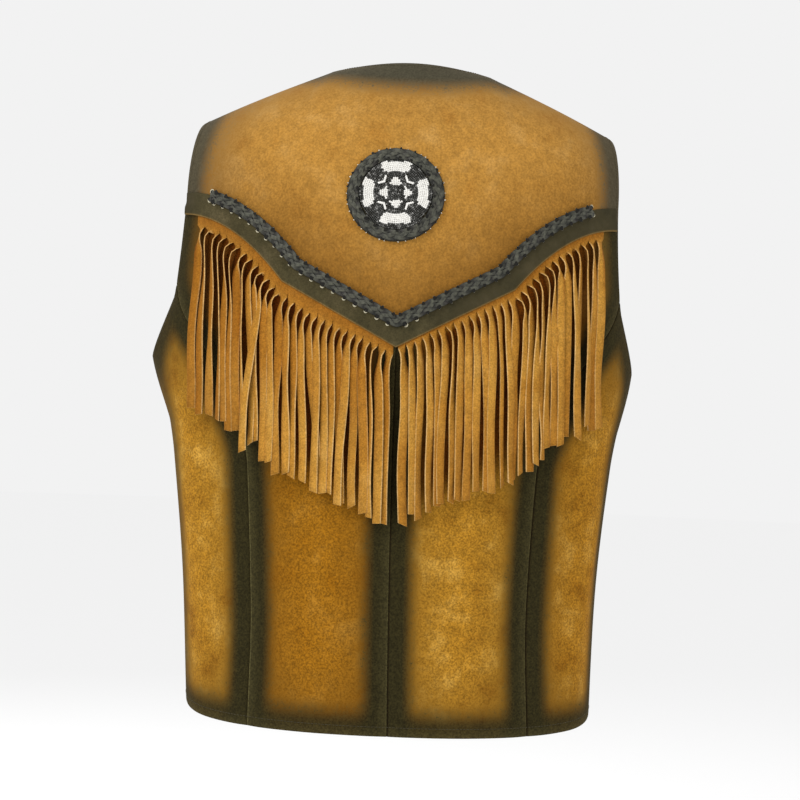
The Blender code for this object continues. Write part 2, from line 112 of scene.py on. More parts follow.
def falling(value: Numbers, start: Numbers, length: Numbers) -> Array:
    """Eases from 1 to 0 over a length that begins at the start."""
    return 1.0 - rising(value, start, length)


def unit(vectors: Array) -> Array:
    """Scales vectors, which lie along the last axis, to a length of 1."""
    return vectors / np.maximum(np.linalg.norm(vectors, axis=-1, keepdims=True), 1e-12)


def run_of(line: Array) -> Array:
    """Distances along a line of points."""
    steps = np.linalg.norm(np.diff(line, axis=0), axis=1)
    return np.concatenate([[0.0], np.cumsum(steps)])


def halve(low: Array, high: Array, past: Callable[[Array], Array]) -> Array:
    """Closes in on the values where a test turns true.

    Args:
        low: Values where it is false.
        high: Values where it is true.
        past: The test.

    Returns:
        The values.
    """
    for _ in range(HALVINGS):
        middle = (low + high) / 2.0
        is_past = past(middle)
        high = np.where(is_past, middle, high)
        low = np.where(is_past, low, middle)
    return (low + high) / 2.0


class Face(Enum):
    """Side of the body, as the sign of its Y."""

    BACK = 1
    FRONT = -1


class Side(Enum):
    """Half of the garment, as the sign of its X."""

    LEFT = 1
    RIGHT = -1


class Column(IntEnum):
    """Columns of the table of body sections."""

    HEIGHT = 0
    HALF_WIDTH = 1
    BACK_Y = 2
    FRONT_Y = 3
    BACK_DROP = 4
    FRONT_DROP = 5
    SEAM_ANGLE = 6


DEPTH = {Face.BACK: Column.BACK_Y, Face.FRONT: Column.FRONT_Y}
DROP = {Face.BACK: Column.BACK_DROP, Face.FRONT: Column.FRONT_DROP}


@dataclass(frozen=True)
class Fold:
    """A soft fold: angle in degrees, height, reaches, depth, and degrees of lean a metre."""

    angle: float
    z: float
    half_angle: float
    half_length: float
    height: float
    lean: float = 0.0


FOLDS: dict[Face, tuple[Fold, ...]] = {
    Face.BACK: (
        Fold(63.0, -0.455, 8.0, 0.120, 0.0035),
        Fold(-64.0, -0.450, 8.0, 0.130, 0.0035),
        Fold(22.0, -0.470, 11.0, 0.110, 0.0020),
        Fold(-20.0, -0.500, 10.0, 0.100, 0.0018),
        Fold(48.0, -0.350, 7.0, 0.050, -0.0020),
        Fold(-49.0, -0.352, 7.0, 0.050, -0.0020),
        Fold(71.0, -0.400, 3.0, 0.060, 0.0012, 40.0),
        Fold(56.0, -0.520, 3.5, 0.050, -0.0010, -30.0),
        Fold(-72.0, -0.420, 3.0, 0.070, 0.0012, -45.0),
        Fold(-55.0, -0.540, 3.5, 0.045, -0.0010, 35.0),
        Fold(31.0, -0.560, 4.0, 0.040, -0.0008, 60.0),
        Fold(-30.0, -0.550, 4.0, 0.045, -0.0008, -50.0),
    ),
    Face.FRONT: (
        Fold(58.0, -0.440, 9.0, 0.120, 0.0035),
        Fold(-56.0, -0.450, 9.0, 0.120, 0.0035),
        Fold(30.0, -0.180, 9.0, 0.070, 0.0025),
        Fold(-31.0, -0.185, 9.0, 0.070, 0.0025),
        Fold(40.0, -0.520, 4.0, 0.060, -0.0012, 50.0),
        Fold(-38.0, -0.500, 4.0, 0.070, -0.0012, -40.0),
        Fold(70.0, -0.390, 3.0, 0.060, 0.0012, -40.0),
        Fold(-69.0, -0.400, 3.0, 0.060, 0.0012, 40.0),
    ),
}


@dataclass
class BodyForm:
    """The filled-out body as a surface, on which every panel lies."""

    suede: float = 0.0014
    seam_gap: float = 0.0003
    layer_gap: float = 0.0004
    hem_z: float = -0.604
    sections: tuple[tuple[float, ...], ...] = (
        (0.000, 0.2020, 0.1270, 0.1230, -0.015, -0.008, 42.2),
        (0.115, 0.2065, 0.1280, 0.1270, -0.012, -0.006, 40.2),
        (0.246, 0.2190, 0.1190, 0.1220, -0.008, -0.004, 40.0),
        (0.340, 0.2320, 0.1260, 0.1300, -0.004, -0.002, 50.5),
        (0.416, 0.2265, 0.1310, 0.1270, 0.000, 0.000, 77.0),
        (0.501, 0.2240, 0.1270, 0.1120, 0.005, 0.003, 90.0),
    )
    flatness: float = 0.85
    underarm: float = 0.340
    flare_left: float = 0.0130
    flare_right: float = 0.0060
    flare_reach: float = 0.060
    armhole_back: float = 0.046
    armhole_front: float = 0.052
    hem_sway: float = 0.0055
    hem_sway_from: float = -0.250
    neck_sway: float = 0.0055
    neck_sway_from: float = -0.200
    shoulder_half: float = 0.2025
    shoulder_tip_z: float = -0.028
    neck_half: float = 0.077
    neck_corner_z: float = 0.027
    neck_back_y: float = 0.055
    neck_back_z: float = 0.034
    neck_roundness: float = 0.7
    nape_turn: float = 50.0
    front_v_z: float = -0.345
    front_half_gap: float = 0.002
    seam_dip: float = 0.0012
    seam_dip_angle: float = 3.2
    seam_dip_top: float = -0.278
    seam_dip_fade: float = 0.03
    step: float = 2e-4

    def __post_init__(self) -> None:
        """Prepares the section curves, which never pass the table's values between two rows."""
        self.table = np.array(self.sections)
        self.heights = self.table[:, Column.HEIGHT]
        self.top = self.heights[-1]
        steps = np.diff(self.table, axis=0) / np.diff(self.heights)[:, None]
        product = steps[:-1] * steps[1:]
        total = np.where(product > 0.0, steps[:-1] + steps[1:], 1.0)
        inner = np.where(product > 0.0, 2.0 * product / total, 0.0)
        self.tangents = np.vstack([steps[:1], inner, steps[-1:]])

    def section(self, height: Array) -> Array:
        """Section of the body at heights above the hem.

        Args:
            height: Heights.

        Returns:
            The table's columns at each height, along the last axis.
        """
        low = np.clip(np.searchsorted(self.heights, height, side="right") - 1, 0, len(self.heights) - 2)
        span = (self.heights[low + 1] - self.heights[low])[..., None]
        u = (height - self.heights[low])[..., None] / span
        return (
            (2 * u**3 - 3 * u**2 + 1) * self.table[low]
            + (u**3 - 2 * u**2 + u) * span * self.tangents[low]
            + (3 * u**2 - 2 * u**3) * self.table[low + 1]
            + (u**3 - u**2) * span * self.tangents[low + 1]
        )

    def edge_angle(self, height: Array, face: Face) -> Array:
        """Angle at which a face ends, at the side seam or the armhole.

        Args:
            height: Heights above the hem.
            face: Back or front.

        Returns:
            Angles in radians.
        """
        depth = self.section(height)[..., DEPTH[face]]
        armhole = self.armhole_back if face is Face.BACK else self.armhole_front
        rise = np.clip((height - self.underarm) / (self.top - self.underarm), 0.0, 1.0)
        cut = armhole * np.sqrt(rise * (2.0 - rise))
        return np.arccos((cut / depth) ** (1.0 / self.flatness))

    def torso(self, s: Array, t: Array, face: Face) -> Array:
        """Points of the trunk.

        Args:
            s: Places across.
            t: Places up, 0 to 1.
            face: Back or front.

        Returns:
            Points.
        """
        height = t * self.top
        row = self.section(height)
        a = np.abs(s)
        angle = self.edge_angle(height, face) * a
        flare = np.where(s > 0.0, self.flare_left, self.flare_right)
        flare = flare * np.maximum(0.0, 1.0 - np.abs(height - self.underarm) / self.flare_reach) * a**6
        x = row[..., Column.HALF_WIDTH] * np.sin(angle) + flare
        y = row[..., DEPTH[face]] * np.maximum(np.cos(angle), 0.0) ** self.flatness
        z = self.hem_z + height + row[..., DROP[face]] * (1.0 - a**3)
        return np.stack([np.sign(s) * x, face.value * y, z], axis=-1)

    def ridge(self, s: Array) -> Array:
        """Top edge: the back of the neck, then the shoulder seam.

        Args:
            s: Places across.

        Returns:
            Points.
        """
        x = np.abs(s) * self.shoulder_half
        share = np.minimum(x / self.neck_half, 1.0)
        along = np.maximum(x - self.neck_half, 0.0) / (self.shoulder_half - self.neck_half)
        y = self.neck_back_y * (1.0 - share * share) ** self.neck_roundness
        z = lerp(self.neck_back_z, self.neck_corner_z, share * share)
        z = z + along * (self.shoulder_tip_z - self.neck_corner_z)
        return np.stack([np.sign(s) * x, y, z], axis=-1)

    def place(self, s: Array, t: Array, face: Face) -> Array:
        """Points of the whole form, without folds.

        Args:
            s: Places across.
            t: Places up, 0 to 2.
            face: Back or front.

        Returns:
            Points.
        """
        start = self.torso(s, np.minimum(t, 1.0), face)
        end = self.ridge(s)
        turn = np.radians(lerp(self.nape_turn, 90.0, ease(np.abs(s) * self.shoulder_half / self.neck_half)))
        angle = np.maximum(t - 1.0, 0.0) * turn
        over = (1.0 - np.cos(angle)) / (1.0 - np.cos(turn))
        up = np.sin(angle) / np.sin(turn)
        point = lerp(start, end, np.stack([over, over, up], axis=-1))
        z = point[..., 2]
        low = np.maximum(0.0, self.hem_sway_from - z) / (self.hem_sway_from - self.hem_z)
        high = np.maximum(0.0, z - self.neck_sway_from) / (self.neck_back_z - self.neck_sway_from)
        point[..., 0] -= self.hem_sway * low * low + self.neck_sway * high * high
        return point

    def normal(self, s: Array, t: Array, face: Face) -> Array:
        """Outward directions of the form.

        Args:
            s: Places across.
            t: Places up.
            face: Back or front.

        Returns:
            Unit vectors.
        """
        step = self.step
        right = self.place(np.maximum(s - step, -1.0), t, face)
        left = self.place(np.minimum(s + step, 1.0), t, face)
        below = self.place(s, np.maximum(t - step, 0.0), face)
        above = self.place(s, np.minimum(t + step, 2.0), face)
        return unit(face.value * np.cross(above - below, left - right))

    def relief(self, s: Array, t: Array, face: Face) -> Array:
        """Height of the soft folds, less the dips along the back seams.

        Args:
            s: Places across.
            t: Places up.
            face: Back or front.

        Returns:
            Heights off the form.
        """
        height = np.minimum(t, 1.0) * self.top
        angle = np.degrees(self.edge_angle(height, face)) * s
        z = self.hem_z + height
        total = np.zeros_like(z)
        for fold in FOLDS[face]:
            across = (angle - fold.angle - fold.lean * (z - fold.z)) / fold.half_angle
            along = (z - fold.z) / fold.half_length
            total += fold.height * np.exp(-across * across - along * along)
        if face is Face.BACK:
            fade = falling(z, self.seam_dip_top, self.seam_dip_fade)
            side = (np.abs(angle) - self.section(height)[..., Column.SEAM_ANGLE]) / self.seam_dip_angle
            middle = angle / self.seam_dip_angle
            total -= self.seam_dip * fade * (np.exp(-middle * middle) + np.exp(-side * side))
        return total

    def on(self, s: Array, t: Array, lift: Numbers, face: Face) -> Array:
        """Points on the cloth's face, lifted off it."""
        height = self.relief(s, t, face) + lift
        return self.place(s, t, face) + self.normal(s, t, face) * height[..., None]

    def back(self, x: Array, z: Array, lift: Numbers) -> Pair:
        """Points over the back and directions off it, from places as seen from behind."""
        s, t = self.find(x, z)
        return self.on(s, t, lift, Face.BACK), self.normal(s, t, Face.BACK)

    def find(self, x: Array, z: Array, start: Pair | None = None) -> Pair:
        """Places on the back as seen from behind.

        Args:
            x: Distances across.
            z: Heights.
            start: First guess, where a near one is known.

        Returns:
            The s and t of each place.
        """
        if start is None:
            s = np.clip(x / 0.2155, -0.99, 0.99)
            t = np.clip((z - self.hem_z) / self.top, 0.01, 1.9)
            rounds = 24
        else:
            s, t = start
            rounds = 4
        step = 1e-4
        farthest = 0.1
        for _ in range(rounds):
            here = self.place(s, t, Face.BACK)
            side = np.where(s < 0.9, step, -step)
            by_s = (self.place(s + side, t, Face.BACK) - here) / side[..., None]
            by_t = (self.place(s, t + step, Face.BACK) - here) / step
            size = by_s[..., 0] * by_t[..., 2] - by_t[..., 0] * by_s[..., 2]
            dx = x - here[..., 0]
            dz = z - here[..., 2]
            s = s + np.clip((dx * by_t[..., 2] - dz * by_t[..., 0]) / size, -farthest, farthest)
            t = t + np.clip((dz * by_s[..., 0] - dx * by_s[..., 2]) / size, -farthest, farthest)
            s = np.clip(s, -0.9985, 0.9985)
            t = np.clip(t, 0.001, 1.98)
        return s, t

    def inset(self, s: Array, t: Array, gap: float, face: Face) -> Array:
        """Moves a line nearer to the middle.

        Args:
            s: Places across, 0 to 1, along the line.
            t: Places up.
            gap: Distance along the cloth, square to the line.
            face: Back or front.

        Returns:
            The moved s.
        """
        step = math.copysign(1e-3, gap)
        line = self.place(s, t, face)
        reach = line - self.place(s - step, t, face)
        along = unit(np.gradient(line, axis=0))
        square = reach - along * np.sum(reach * along, axis=-1, keepdims=True)
        return s - gap * abs(step) / np.linalg.norm(square, axis=-1)

    def seam(self, t: Array) -> Array:
        """Places across of the shaped side-back seam.

        Args:
            t: Places up, held to the trunk.

        Returns:
            The s of the seam, 1 where it has run out at the armhole.
        """
        height = np.minimum(t, 1.0) * self.top
        angle = np.radians(self.section(height)[..., Column.SEAM_ANGLE])
        return np.minimum(angle / self.edge_angle(height, Face.BACK), 1.0)

    def opening(self, t: Array) -> Array:
        """Places across of a front's inner edge: the opening below, the V of the neck above.

        Args:
            t: Places up.

        Returns:
            The s of the edge.
        """
        middle = self.place(np.zeros_like(t), t, Face.FRONT)
        is_low = middle[..., 2] < self.front_v_z
        widest = 0.6

        def past(s: Array) -> Array:
            """Tells which places lie on the front, outside its inner edge.

            Args:
                s: Places across.

            Returns:
                True outside the edge.
            """
            point = self.place(s, t, Face.FRONT)
            share = (point[..., 2] - self.front_v_z) / (self.neck_corner_z - self.front_v_z)
            straight = point[..., 0] - middle[..., 0] - self.front_half_gap
            slanted = point[..., 0] - np.maximum(self.front_half_gap, self.neck_half * share)
            return np.where(is_low, straight, slanted) > 0.0

        return halve(np.zeros_like(t), np.full_like(t, widest), past)


@dataclass
class YokeLine:
    """The pointed line across the back: the band's lower edge, with the yoke's seam a little above it."""

    form: BodyForm
    point_z: float = -0.248
    corner_x: float = 0.111
    corner_z: float = -0.189
    end_x: float = 0.2155
    end_z: float = -0.124
    seam_rise: float = 0.009
    lowest_t: float = 0.3
    highest_t: float = 1.2

    def height(self, x: Array) -> Array:
        """Height of the line.

        Args:
            x: Distances across the back.

        Returns:
            Heights.
        """
        a = np.abs(x)
        straight = lerp(self.point_z, self.corner_z, a / self.corner_x)
        rest = 1.0 - (a - self.corner_x) / (self.end_x - self.corner_x)
        curved = lerp(self.corner_z, self.end_z, 1.0 - rest * np.abs(rest))
        return np.where(a < self.corner_x, straight, curved)

    def slope(self, x: Array) -> Array:
        """Angle of the line in radians."""
        step = 1e-5
        return np.arctan((self.height(x + step) - self.height(x - step)) / (2.0 * step))

    def raised(self, x: Array, rise: Numbers) -> Array:
        """Height of the line moved square to itself.

        Args:
            x: Distances across the back.
            rise: How far to move it, up or down.

        Returns:
            Heights.
        """
        rise = np.broadcast_to(np.asarray(rise, float), x.shape)[..., None]
        reach = np.abs(rise)
        sign = np.where(rise < 0.0, -1.0, 1.0)
        aside = reach * np.linspace(-1.0, 1.0, 61)
        round_off = np.sqrt(np.maximum(reach * reach - aside * aside, 0.0))
        return np.max(self.height(x[..., None] + aside) * sign + round_off, axis=-1) * sign[..., 0]

    def on(self, x: Array, rise: Numbers, lift: Numbers) -> Array:
        """Points along the moved line, lifted off the cloth."""
        s, t = self.form.find(x, self.raised(x, rise))
        return self.form.on(s, t, lift, Face.BACK)

    def seam_t(self, across: Callable[[Array], Array], rise: float, count: int) -> Array:
        """Where columns of the back reach the yoke seam.

        Args:
            across: Gives each column's s from its t.
            rise: Distance of the seam above the line.
            count: Number of columns.

        Returns:
            The t of each column's end.
        """

        def past(t: Array) -> Array:
            """Tells which places lie above the seam."""
            point = self.form.place(across(t), t, Face.BACK)
            return point[..., 2] > self.raised(point[..., 0], rise)

        return halve(np.full(count, self.lowest_t), np.full(count, self.highest_t), past)


@dataclass
class Graph:
    """Adds and links the nodes of one tree."""

    tree: Tree

    def add(self, kind: str, inputs: Inputs | None = None, **settings: object) -> bpy.types.Node:
        """Adds a node.

        Args:
            kind: Node type.
            inputs: Values or sockets for its inputs.
            settings: Properties to set first.

        Returns:
            The node.
        """
        node = self.tree.nodes.new(kind)
        for key, value in settings.items():
            setattr(node, key, value)
        self.feed(node, inputs or {})
        return node

    def feed(self, node: bpy.types.Node, inputs: Inputs) -> None:
        """Sets or links the inputs of a node.

        Args:
            node: The node.
            inputs: Values or sockets for its inputs.
        """
        for key, value in inputs.items():
            if isinstance(value, Socket):
                self.tree.links.new(value, node.inputs[key])
            else:
                node.inputs[key].default_value = value

    def math(self, operation: str, first: object, second: object = 0.0) -> Socket:
        """Adds a sum on two values or sockets."""
        return self.add("ShaderNodeMath", {0: first, 1: second}, operation=operation).outputs[0]

    def times(self, first: object, second: object) -> Socket:
        """Adds a product of two values or sockets."""
        return self.math("MULTIPLY", first, second)

    def mix(self, share: object, first: object, second: object, blend: str = "MIX") -> Socket:
        """Adds a mix of two colours, by the share of the second."""
        inputs = {0: share, 6: first, 7: second}
        return self.add("ShaderNodeMix", inputs, data_type="RGBA", blend_type=blend).outputs[2]

    def span(self, value: object, low: float, high: float, to_low: float, to_high: float) -> Socket:
        """Adds a smooth change of range, from low and high to two other values."""
        inputs = {"Value": value, 1: low, 2: high, 3: to_low, 4: to_high}
        return self.add("ShaderNodeMapRange", inputs, interpolation_type="SMOOTHSTEP").outputs[0]

    def noise(self, where: Socket, scale: object, detail: float, rough: float, bend: float = 0.0) -> Socket:
        """Adds a cloudy noise."""
        inputs = {"Vector": where, "Scale": scale, "Detail": detail, "Roughness": rough, "Distortion": bend}
        return self.add("ShaderNodeTexNoise", inputs).outputs[0]

    def field(self, name: str) -> Socket:
        """Reads a mesh attribute, which is 0 where the mesh hasn't got it."""
        return self.add("ShaderNodeAttribute", attribute_name=name).outputs["Fac"]


def nap_group() -> Tree:
    """Builds the shared group for suede: clouding, brushed streaks, grain and a height for bumps.

    Returns:
        The group.
    """
    tree = bpy.data.node_groups.new("suede_nap", "ShaderNodeTree")
    for name in ("Cloud Scale", "Grain Scale"):
        tree.interface.new_socket(name, in_out="INPUT", socket_type="NodeSocketFloat")
    for name in ("Cloud", "Streak", "Grain", "Height"):
        tree.interface.new_socket(name, in_out="OUTPUT", socket_type="NodeSocketFloat")
    graph = Graph(tree)
    given = graph.add("NodeGroupInput").outputs
    where = graph.add("ShaderNodeTexCoord").outputs["Object"]
    stretched = graph.add("ShaderNodeMapping", {"Vector": where, "Scale": (1.0, 1.0, 0.65)}).outputs[0]
    cloud = graph.noise(where, given["Cloud Scale"], 5.0, 0.62)
    streak = graph.noise(stretched, 150.0, 3.0, 0.6, 0.6)
    grain = graph.noise(where, given["Grain Scale"], 3.0, 0.7)
    height = graph.math("ADD", graph.times(streak, 0.5), grain)
    graph.add("NodeGroupOutput", {"Cloud": cloud, "Streak": streak, "Grain": grain, "Height": height})
    return tree


@dataclass(frozen=True, kw_only=True)
class Finish:
    """What every finish shares: its name, its bumps, and the steps that turn its colours into a material."""

    name: str
    bump: float = 0.35
    bump_depth: float = 0.0006

    def colours(self, graph: Graph, nap: Tree) -> tuple[Socket, Socket, Socket]:
        """Adds the finish's own colours, and returns the colour, its level and the height for bumps."""
        raise NotImplementedError

    def gloss(self) -> dict[str, object]:
        """Settings of the shader that make the finish dull or glossy."""
        raise NotImplementedError

    def build(self, nap: Tree) -> bpy.types.Material:
        """Builds the material.

        Args:
            nap: The shared suede group.

        Returns:
            The material.
        """
        made = bpy.data.materials.new(self.name)
        made.use_nodes = True
        graph = Graph(made.node_tree)
        colour, level, height = self.colours(graph, nap)
        grey = graph.add("ShaderNodeCombineColor", {0: level, 1: level, 2: level}).outputs[0]
        relief = {"Strength": self.bump, "Distance": self.bump_depth, "Height": height}
        inputs = {
            "Base Color": graph.mix(1.0, colour, grey, "MULTIPLY"),
            "Normal": graph.add("ShaderNodeBump", relief).outputs[0],
        }
        graph.feed(made.node_tree.nodes["Principled BSDF"], {**inputs, **self.gloss()})
        return made


@dataclass(frozen=True, kw_only=True)
class SuedeFinish(Finish):
    """Suede, brushed dark where the mesh's shade says so."""

    base: Colour
    pale: Colour
    deep: Colour
    warm: Colour
    edge: Colour
    worn: Colour
    inside: Colour
    hidden: Colour
    cloud_scale: float = 26.0
    clouding: float = 0.7
    grain_scale: float = 640.0
    grain_depth: float = 0.26
    streak_depth: float = 0.10
    drift: float = 0.34
    speckling: float = 1.7
    pale_and_lit_share: float = 0.75
    sheen: float = 0.06

    def colours(self, graph: Graph, nap: Tree) -> tuple[Socket, Socket, Socket]:
        """Adds clouded suede, the dark spray, pale rubbed edges and lips with painted highlights, the flesh
        side, and painted shade and shadow from what lies on it.

        Args:
            graph: The material's nodes.
            nap: The shared suede group.

        Returns:
            The colour, its level and the height for bumps.
        """
        soft = graph.add("ShaderNodeGroup", node_tree=nap)
        graph.feed(soft, {"Cloud Scale": self.cloud_scale, "Grain Scale": self.grain_scale})
        cloud = soft.outputs["Cloud"]
        streak = soft.outputs["Streak"]
        grain = soft.outputs["Grain"]
        colour = graph.mix(graph.span(cloud, 0.50, 0.72, 0.0, self.clouding), self.base, self.pale)
        colour = graph.mix(graph.span(cloud, 0.50, 0.28, 0.0, self.clouding), colour, self.deep)
        colour = graph.mix(graph.field("tone"), colour, self.warm)
        # The spray breaks up into specks only where it is half way between light and dark.
        speckle = graph.math("SUBTRACT", graph.math("ADD", graph.times(streak, 0.4), grain), 0.7)
        drift = graph.times(graph.math("SUBTRACT", cloud, 0.5), self.drift)
        shade = graph.field("shade")
        half_way = graph.times(graph.times(shade, graph.math("SUBTRACT", 1.0, shade)), 4.0)
        strength = graph.times(graph.math("POWER", half_way, 2.0), self.speckling)
        uneven = graph.times(graph.math("ADD", speckle, drift), strength)
        spray = graph.add("ShaderNodeClamp", {0: graph.math("ADD", shade, uneven)}).outputs[0]
        colour = graph.mix(spray, colour, self.edge)
        # Pale rubbed and cut edges, partly the leather's own colour and partly painted highlights.
        colour = graph.mix(graph.times(graph.field("worn"), self.pale_and_lit_share), colour, self.worn)
        colour = graph.mix(graph.field("inside"), colour, self.inside)
        # Painted shade and shadow: under laps and the band's edge, behind the fringe and on the strands'
        # turned-away sides.
        colour = graph.mix(graph.field("hidden"), colour, self.hidden, "MULTIPLY")
        speck = graph.span(grain, 0.30, 0.70, 1.0 - self.grain_depth, 1.0 + self.grain_depth)
        brushed = graph.span(streak, 0.30, 0.70, 1.0 - self.streak_depth, 1.0 + self.streak_depth)
        return colour, graph.times(speck, brushed), soft.outputs["Height"]

    def gloss(self) -> dict[str, object]:
        """Settings of the shader: dull, with a little sheen."""
        sheen = {"Sheen Weight": self.sheen, "Sheen Roughness": 0.45, "Sheen Tint": self.pale}
        return {"Roughness": 0.95, "Specular IOR Level": 0.12, **sheen}


@dataclass(frozen=True, kw_only=True)
class TrimFinish(Finish):
    """Lacing leather, thread, beads and holes: one colour that turns to another by a mark on the mesh."""

    base: Colour
    tint: Colour
    second: Colour
    mark: str
    mottle: float
    scale: float
    roughness: float
    bump_depth: float = 0.0004
    coat: float = 0.0
    tint_scale: float = 85.0
    crevice_shade: Colour = srgb("0c0c0c")
    crevice_shade_share: float = 0.9

    def colours(self, graph: Graph, nap: Tree) -> tuple[Socket, Socket, Socket]:
        """Adds the tinted colour, the second one and painted shade in the gaps.

        Args:
            graph: The material's nodes.
            nap: The shared suede group, which trim doesn't use.

        Returns:
            The colour, its level and the height for bumps.
        """
        where = graph.add("ShaderNodeTexCoord").outputs["Object"]
        fine = graph.noise(where, self.scale, 4.0, 0.6)
        broad = graph.noise(where, self.tint_scale, 2.0, 0.5)
        colour = graph.mix(graph.span(broad, 0.40, 0.62, 0.0, 1.0), self.base, self.tint)
        colour = graph.mix(graph.field(self.mark), colour, self.second)
        # Painted shade, where a mesh carries it: the plait's thongs darken toward their tucked-in sides.
        colour = graph.mix(graph.times(graph.field("hidden"), self.crevice_shade_share), colour, self.crevice_shade)
        return colour, graph.span(fine, 0.30, 0.70, 1.0 - self.mottle, 1.0 + self.mottle), fine

    def gloss(self) -> dict[str, object]:
        """Settings of the shader, with a clear coat on glass."""
        return {"Roughness": self.roughness, "Specular IOR Level": 0.35, "Coat Weight": self.coat}


OLIVE = srgb("2e2913")
PALE_AND_LIT_OLIVE = srgb("5c5534")
SHADOW = (0.34, 0.18, 0.06, 1.0)

BODY_SUEDE = SuedeFinish(
    name="body_suede", base=srgb("a97822"), pale=srgb("c7973f"), deep=srgb("8a5b11"),
    warm=srgb("905b06"), edge=OLIVE, worn=PALE_AND_LIT_OLIVE, inside=srgb("967042"), hidden=SHADOW,
    clouding=1.0, grain_scale=540.0, grain_depth=0.42,
)
YOKE_SUEDE = SuedeFinish(
    name="yoke_suede", base=srgb("b6843a"), pale=srgb("c59650"), deep=srgb("a26e28"),
    warm=srgb("8b6024"), edge=srgb("494536"), worn=PALE_AND_LIT_OLIVE, inside=srgb("9c7646"),
    hidden=SHADOW, grain_scale=480.0, grain_depth=0.20,
)
FRINGE_SUEDE = SuedeFinish(
    name="fringe_suede", base=srgb("be8a38"), pale=srgb("cc9d50"), deep=srgb("aa7325"),
    warm=srgb("a66c20"), edge=srgb("603e14"), worn=srgb("e2bc7e"), inside=srgb("603a12"),
    hidden=SHADOW, bump=0.25,
)
DARK_SUEDE = SuedeFinish(
    name="dark_suede", base=srgb("49422b"), pale=srgb("5c5239"), deep=srgb("363220"),
    warm=srgb("403c2e"), edge=srgb("2e2b20"), worn=srgb("9e7c42"), inside=srgb("5a503a"),
    hidden=SHADOW, cloud_scale=34.0, clouding=1.0, grain_depth=0.20, sheen=0.04,
)
# The lacing's second colour is painted light, on the thongs where they pass over.
LACING_LEATHER = TrimFinish(
    name="laced_leather", base=srgb("23241c"), tint=srgb("2e2b27"), second=srgb("4d4d41"),
    mark="light", mottle=0.50, scale=380.0, roughness=0.50, bump=0.35,
)
BEAD_GLASS = TrimFinish(
    name="bead_glass", base=srgb("2c2b26"), tint=srgb("383834"), second=srgb("f6f4ee"),
    mark="white", mottle=0.10, scale=500.0, roughness=0.30, bump=0.0, coat=0.3,
)
THREAD = TrimFinish(
    name="edge_thread", base=srgb("3e3926"), tint=srgb("46402b"), second=srgb("e8e0cc"),
    mark="white", mottle=0.12, scale=1500.0, roughness=0.80, bump=0.2,
)
# A hole's dark colour is painted shade inside it; its second colour is the pale edge, lit as a painted
# highlight.
LACING_HOLE = TrimFinish(
    name="lacing_hole", base=srgb("0e0c08"), tint=srgb("14120c"), second=srgb("d0c8ac"),
    mark="pale", mottle=0.10, scale=1500.0, roughness=0.80, bump=0.1,
)
FINISHES: tuple[Finish, ...] = (
    BODY_SUEDE, YOKE_SUEDE, FRINGE_SUEDE, DARK_SUEDE, LACING_LEATHER, BEAD_GLASS, THREAD, LACING_HOLE,
)


def mesh_of(name: str, surface: Surface, fields: Values | None = None) -> Mesh:
    """Makes a smooth mesh with named values at its points.

    Args:
        name: Name of the mesh.
        surface: Its points and faces.
        fields: Values or vectors at its points.

    Returns:
        The mesh.
    """
    points, faces = surface
    mesh = bpy.data.meshes.new(name)
    mesh.from_pydata(np.asarray(points).tolist(), [], [list(face) for face in faces])
    for key, values in (fields or {}).items():
        kind, part = ("FLOAT_VECTOR", "vector") if np.ndim(values) == 2 else ("FLOAT", "value")
        held = mesh.attributes.new(key, kind, "POINT")
        held.data.foreach_set(part, np.asarray(values, np.float32).ravel())
    if faces:
        mesh.shade_smooth()
    mesh.update()
    return mesh


def shell(
    name: str,
    outer: Array,
    inner: Array,
    fields: SkinValues,
    keep: Array | None = None,
    wrap: bool = False,
    bulge: float = 0.0002,
) -> Mesh:
    """Closes two grids of points into a thin wall with rounded rims.

    Args:
        name: Name of the mesh.
        outer: Grid of the outer skin.
        inner: Grid of the inner skin.
        fields: Values on the outer skin, the inner skin and the rim.
        keep: Which cells are kept, where some are cut out.
        wrap: Whether the last column meets the first.
        bulge: How far rims stand out.

    Returns:
        The mesh.
    """
    rows, columns = outer.shape[:2]
    index = np.arange(rows * columns).reshape(rows, columns)
    if wrap:
        index = np.concatenate([index, index[:, :1]], axis=1)
    corners = [index[:-1, :-1], index[:-1, 1:], index[1:, 1:], index[1:, :-1]]
    quads = np.stack(corners, axis=-1).reshape(-1, 4)
    if keep is not None:
        quads = quads[keep.ravel()]
    out = outer.reshape(-1, 3)
    back = inner.reshape(-1, 3)
    corner = out[quads]
    facing = np.cross(corner[:, 2] - corner[:, 0], corner[:, 3] - corner[:, 1])
    if np.sum(facing * (out - back)[quads[:, 0]]) < 0.0:
        quads = quads[:, ::-1]
        facing = -facing
    # A side of a cell that no other cell shares is free, so it gets a wall.
    count = len(out)
    starts = quads.ravel()
    ends = np.roll(quads, -1, axis=1).ravel()
    free = ~np.isin(starts * count + ends, ends * count + starts)
    first = starts[free]
    second = ends[free]
    aside = unit(np.cross(out[second] - out[first], np.repeat(facing, 4, axis=0)[free]))
    rim = np.unique(first)
    outward = np.zeros((count, 3))
    np.add.at(outward, first, aside)
    np.add.at(outward, second, aside)
    middle = (out[rim] + back[rim]) / 2.0 + unit(outward[rim]) * bulge
    at = np.zeros(count, int)
    at[rim] = np.arange(len(rim)) + 2 * count
    walls = [
        np.stack([second, first, at[first], at[second]], axis=1),
        np.stack([at[second], at[first], first + count, second + count], axis=1),
    ]
    faces = np.concatenate([quads, quads[:, ::-1] + count] + walls)
    values = {
        key: np.concatenate([a.ravel(), b.ravel(), c.ravel()[rim]]) for key, (a, b, c) in fields.items()
    }
    return mesh_of(name, (np.concatenate([out, back, middle]), faces.tolist()), values)


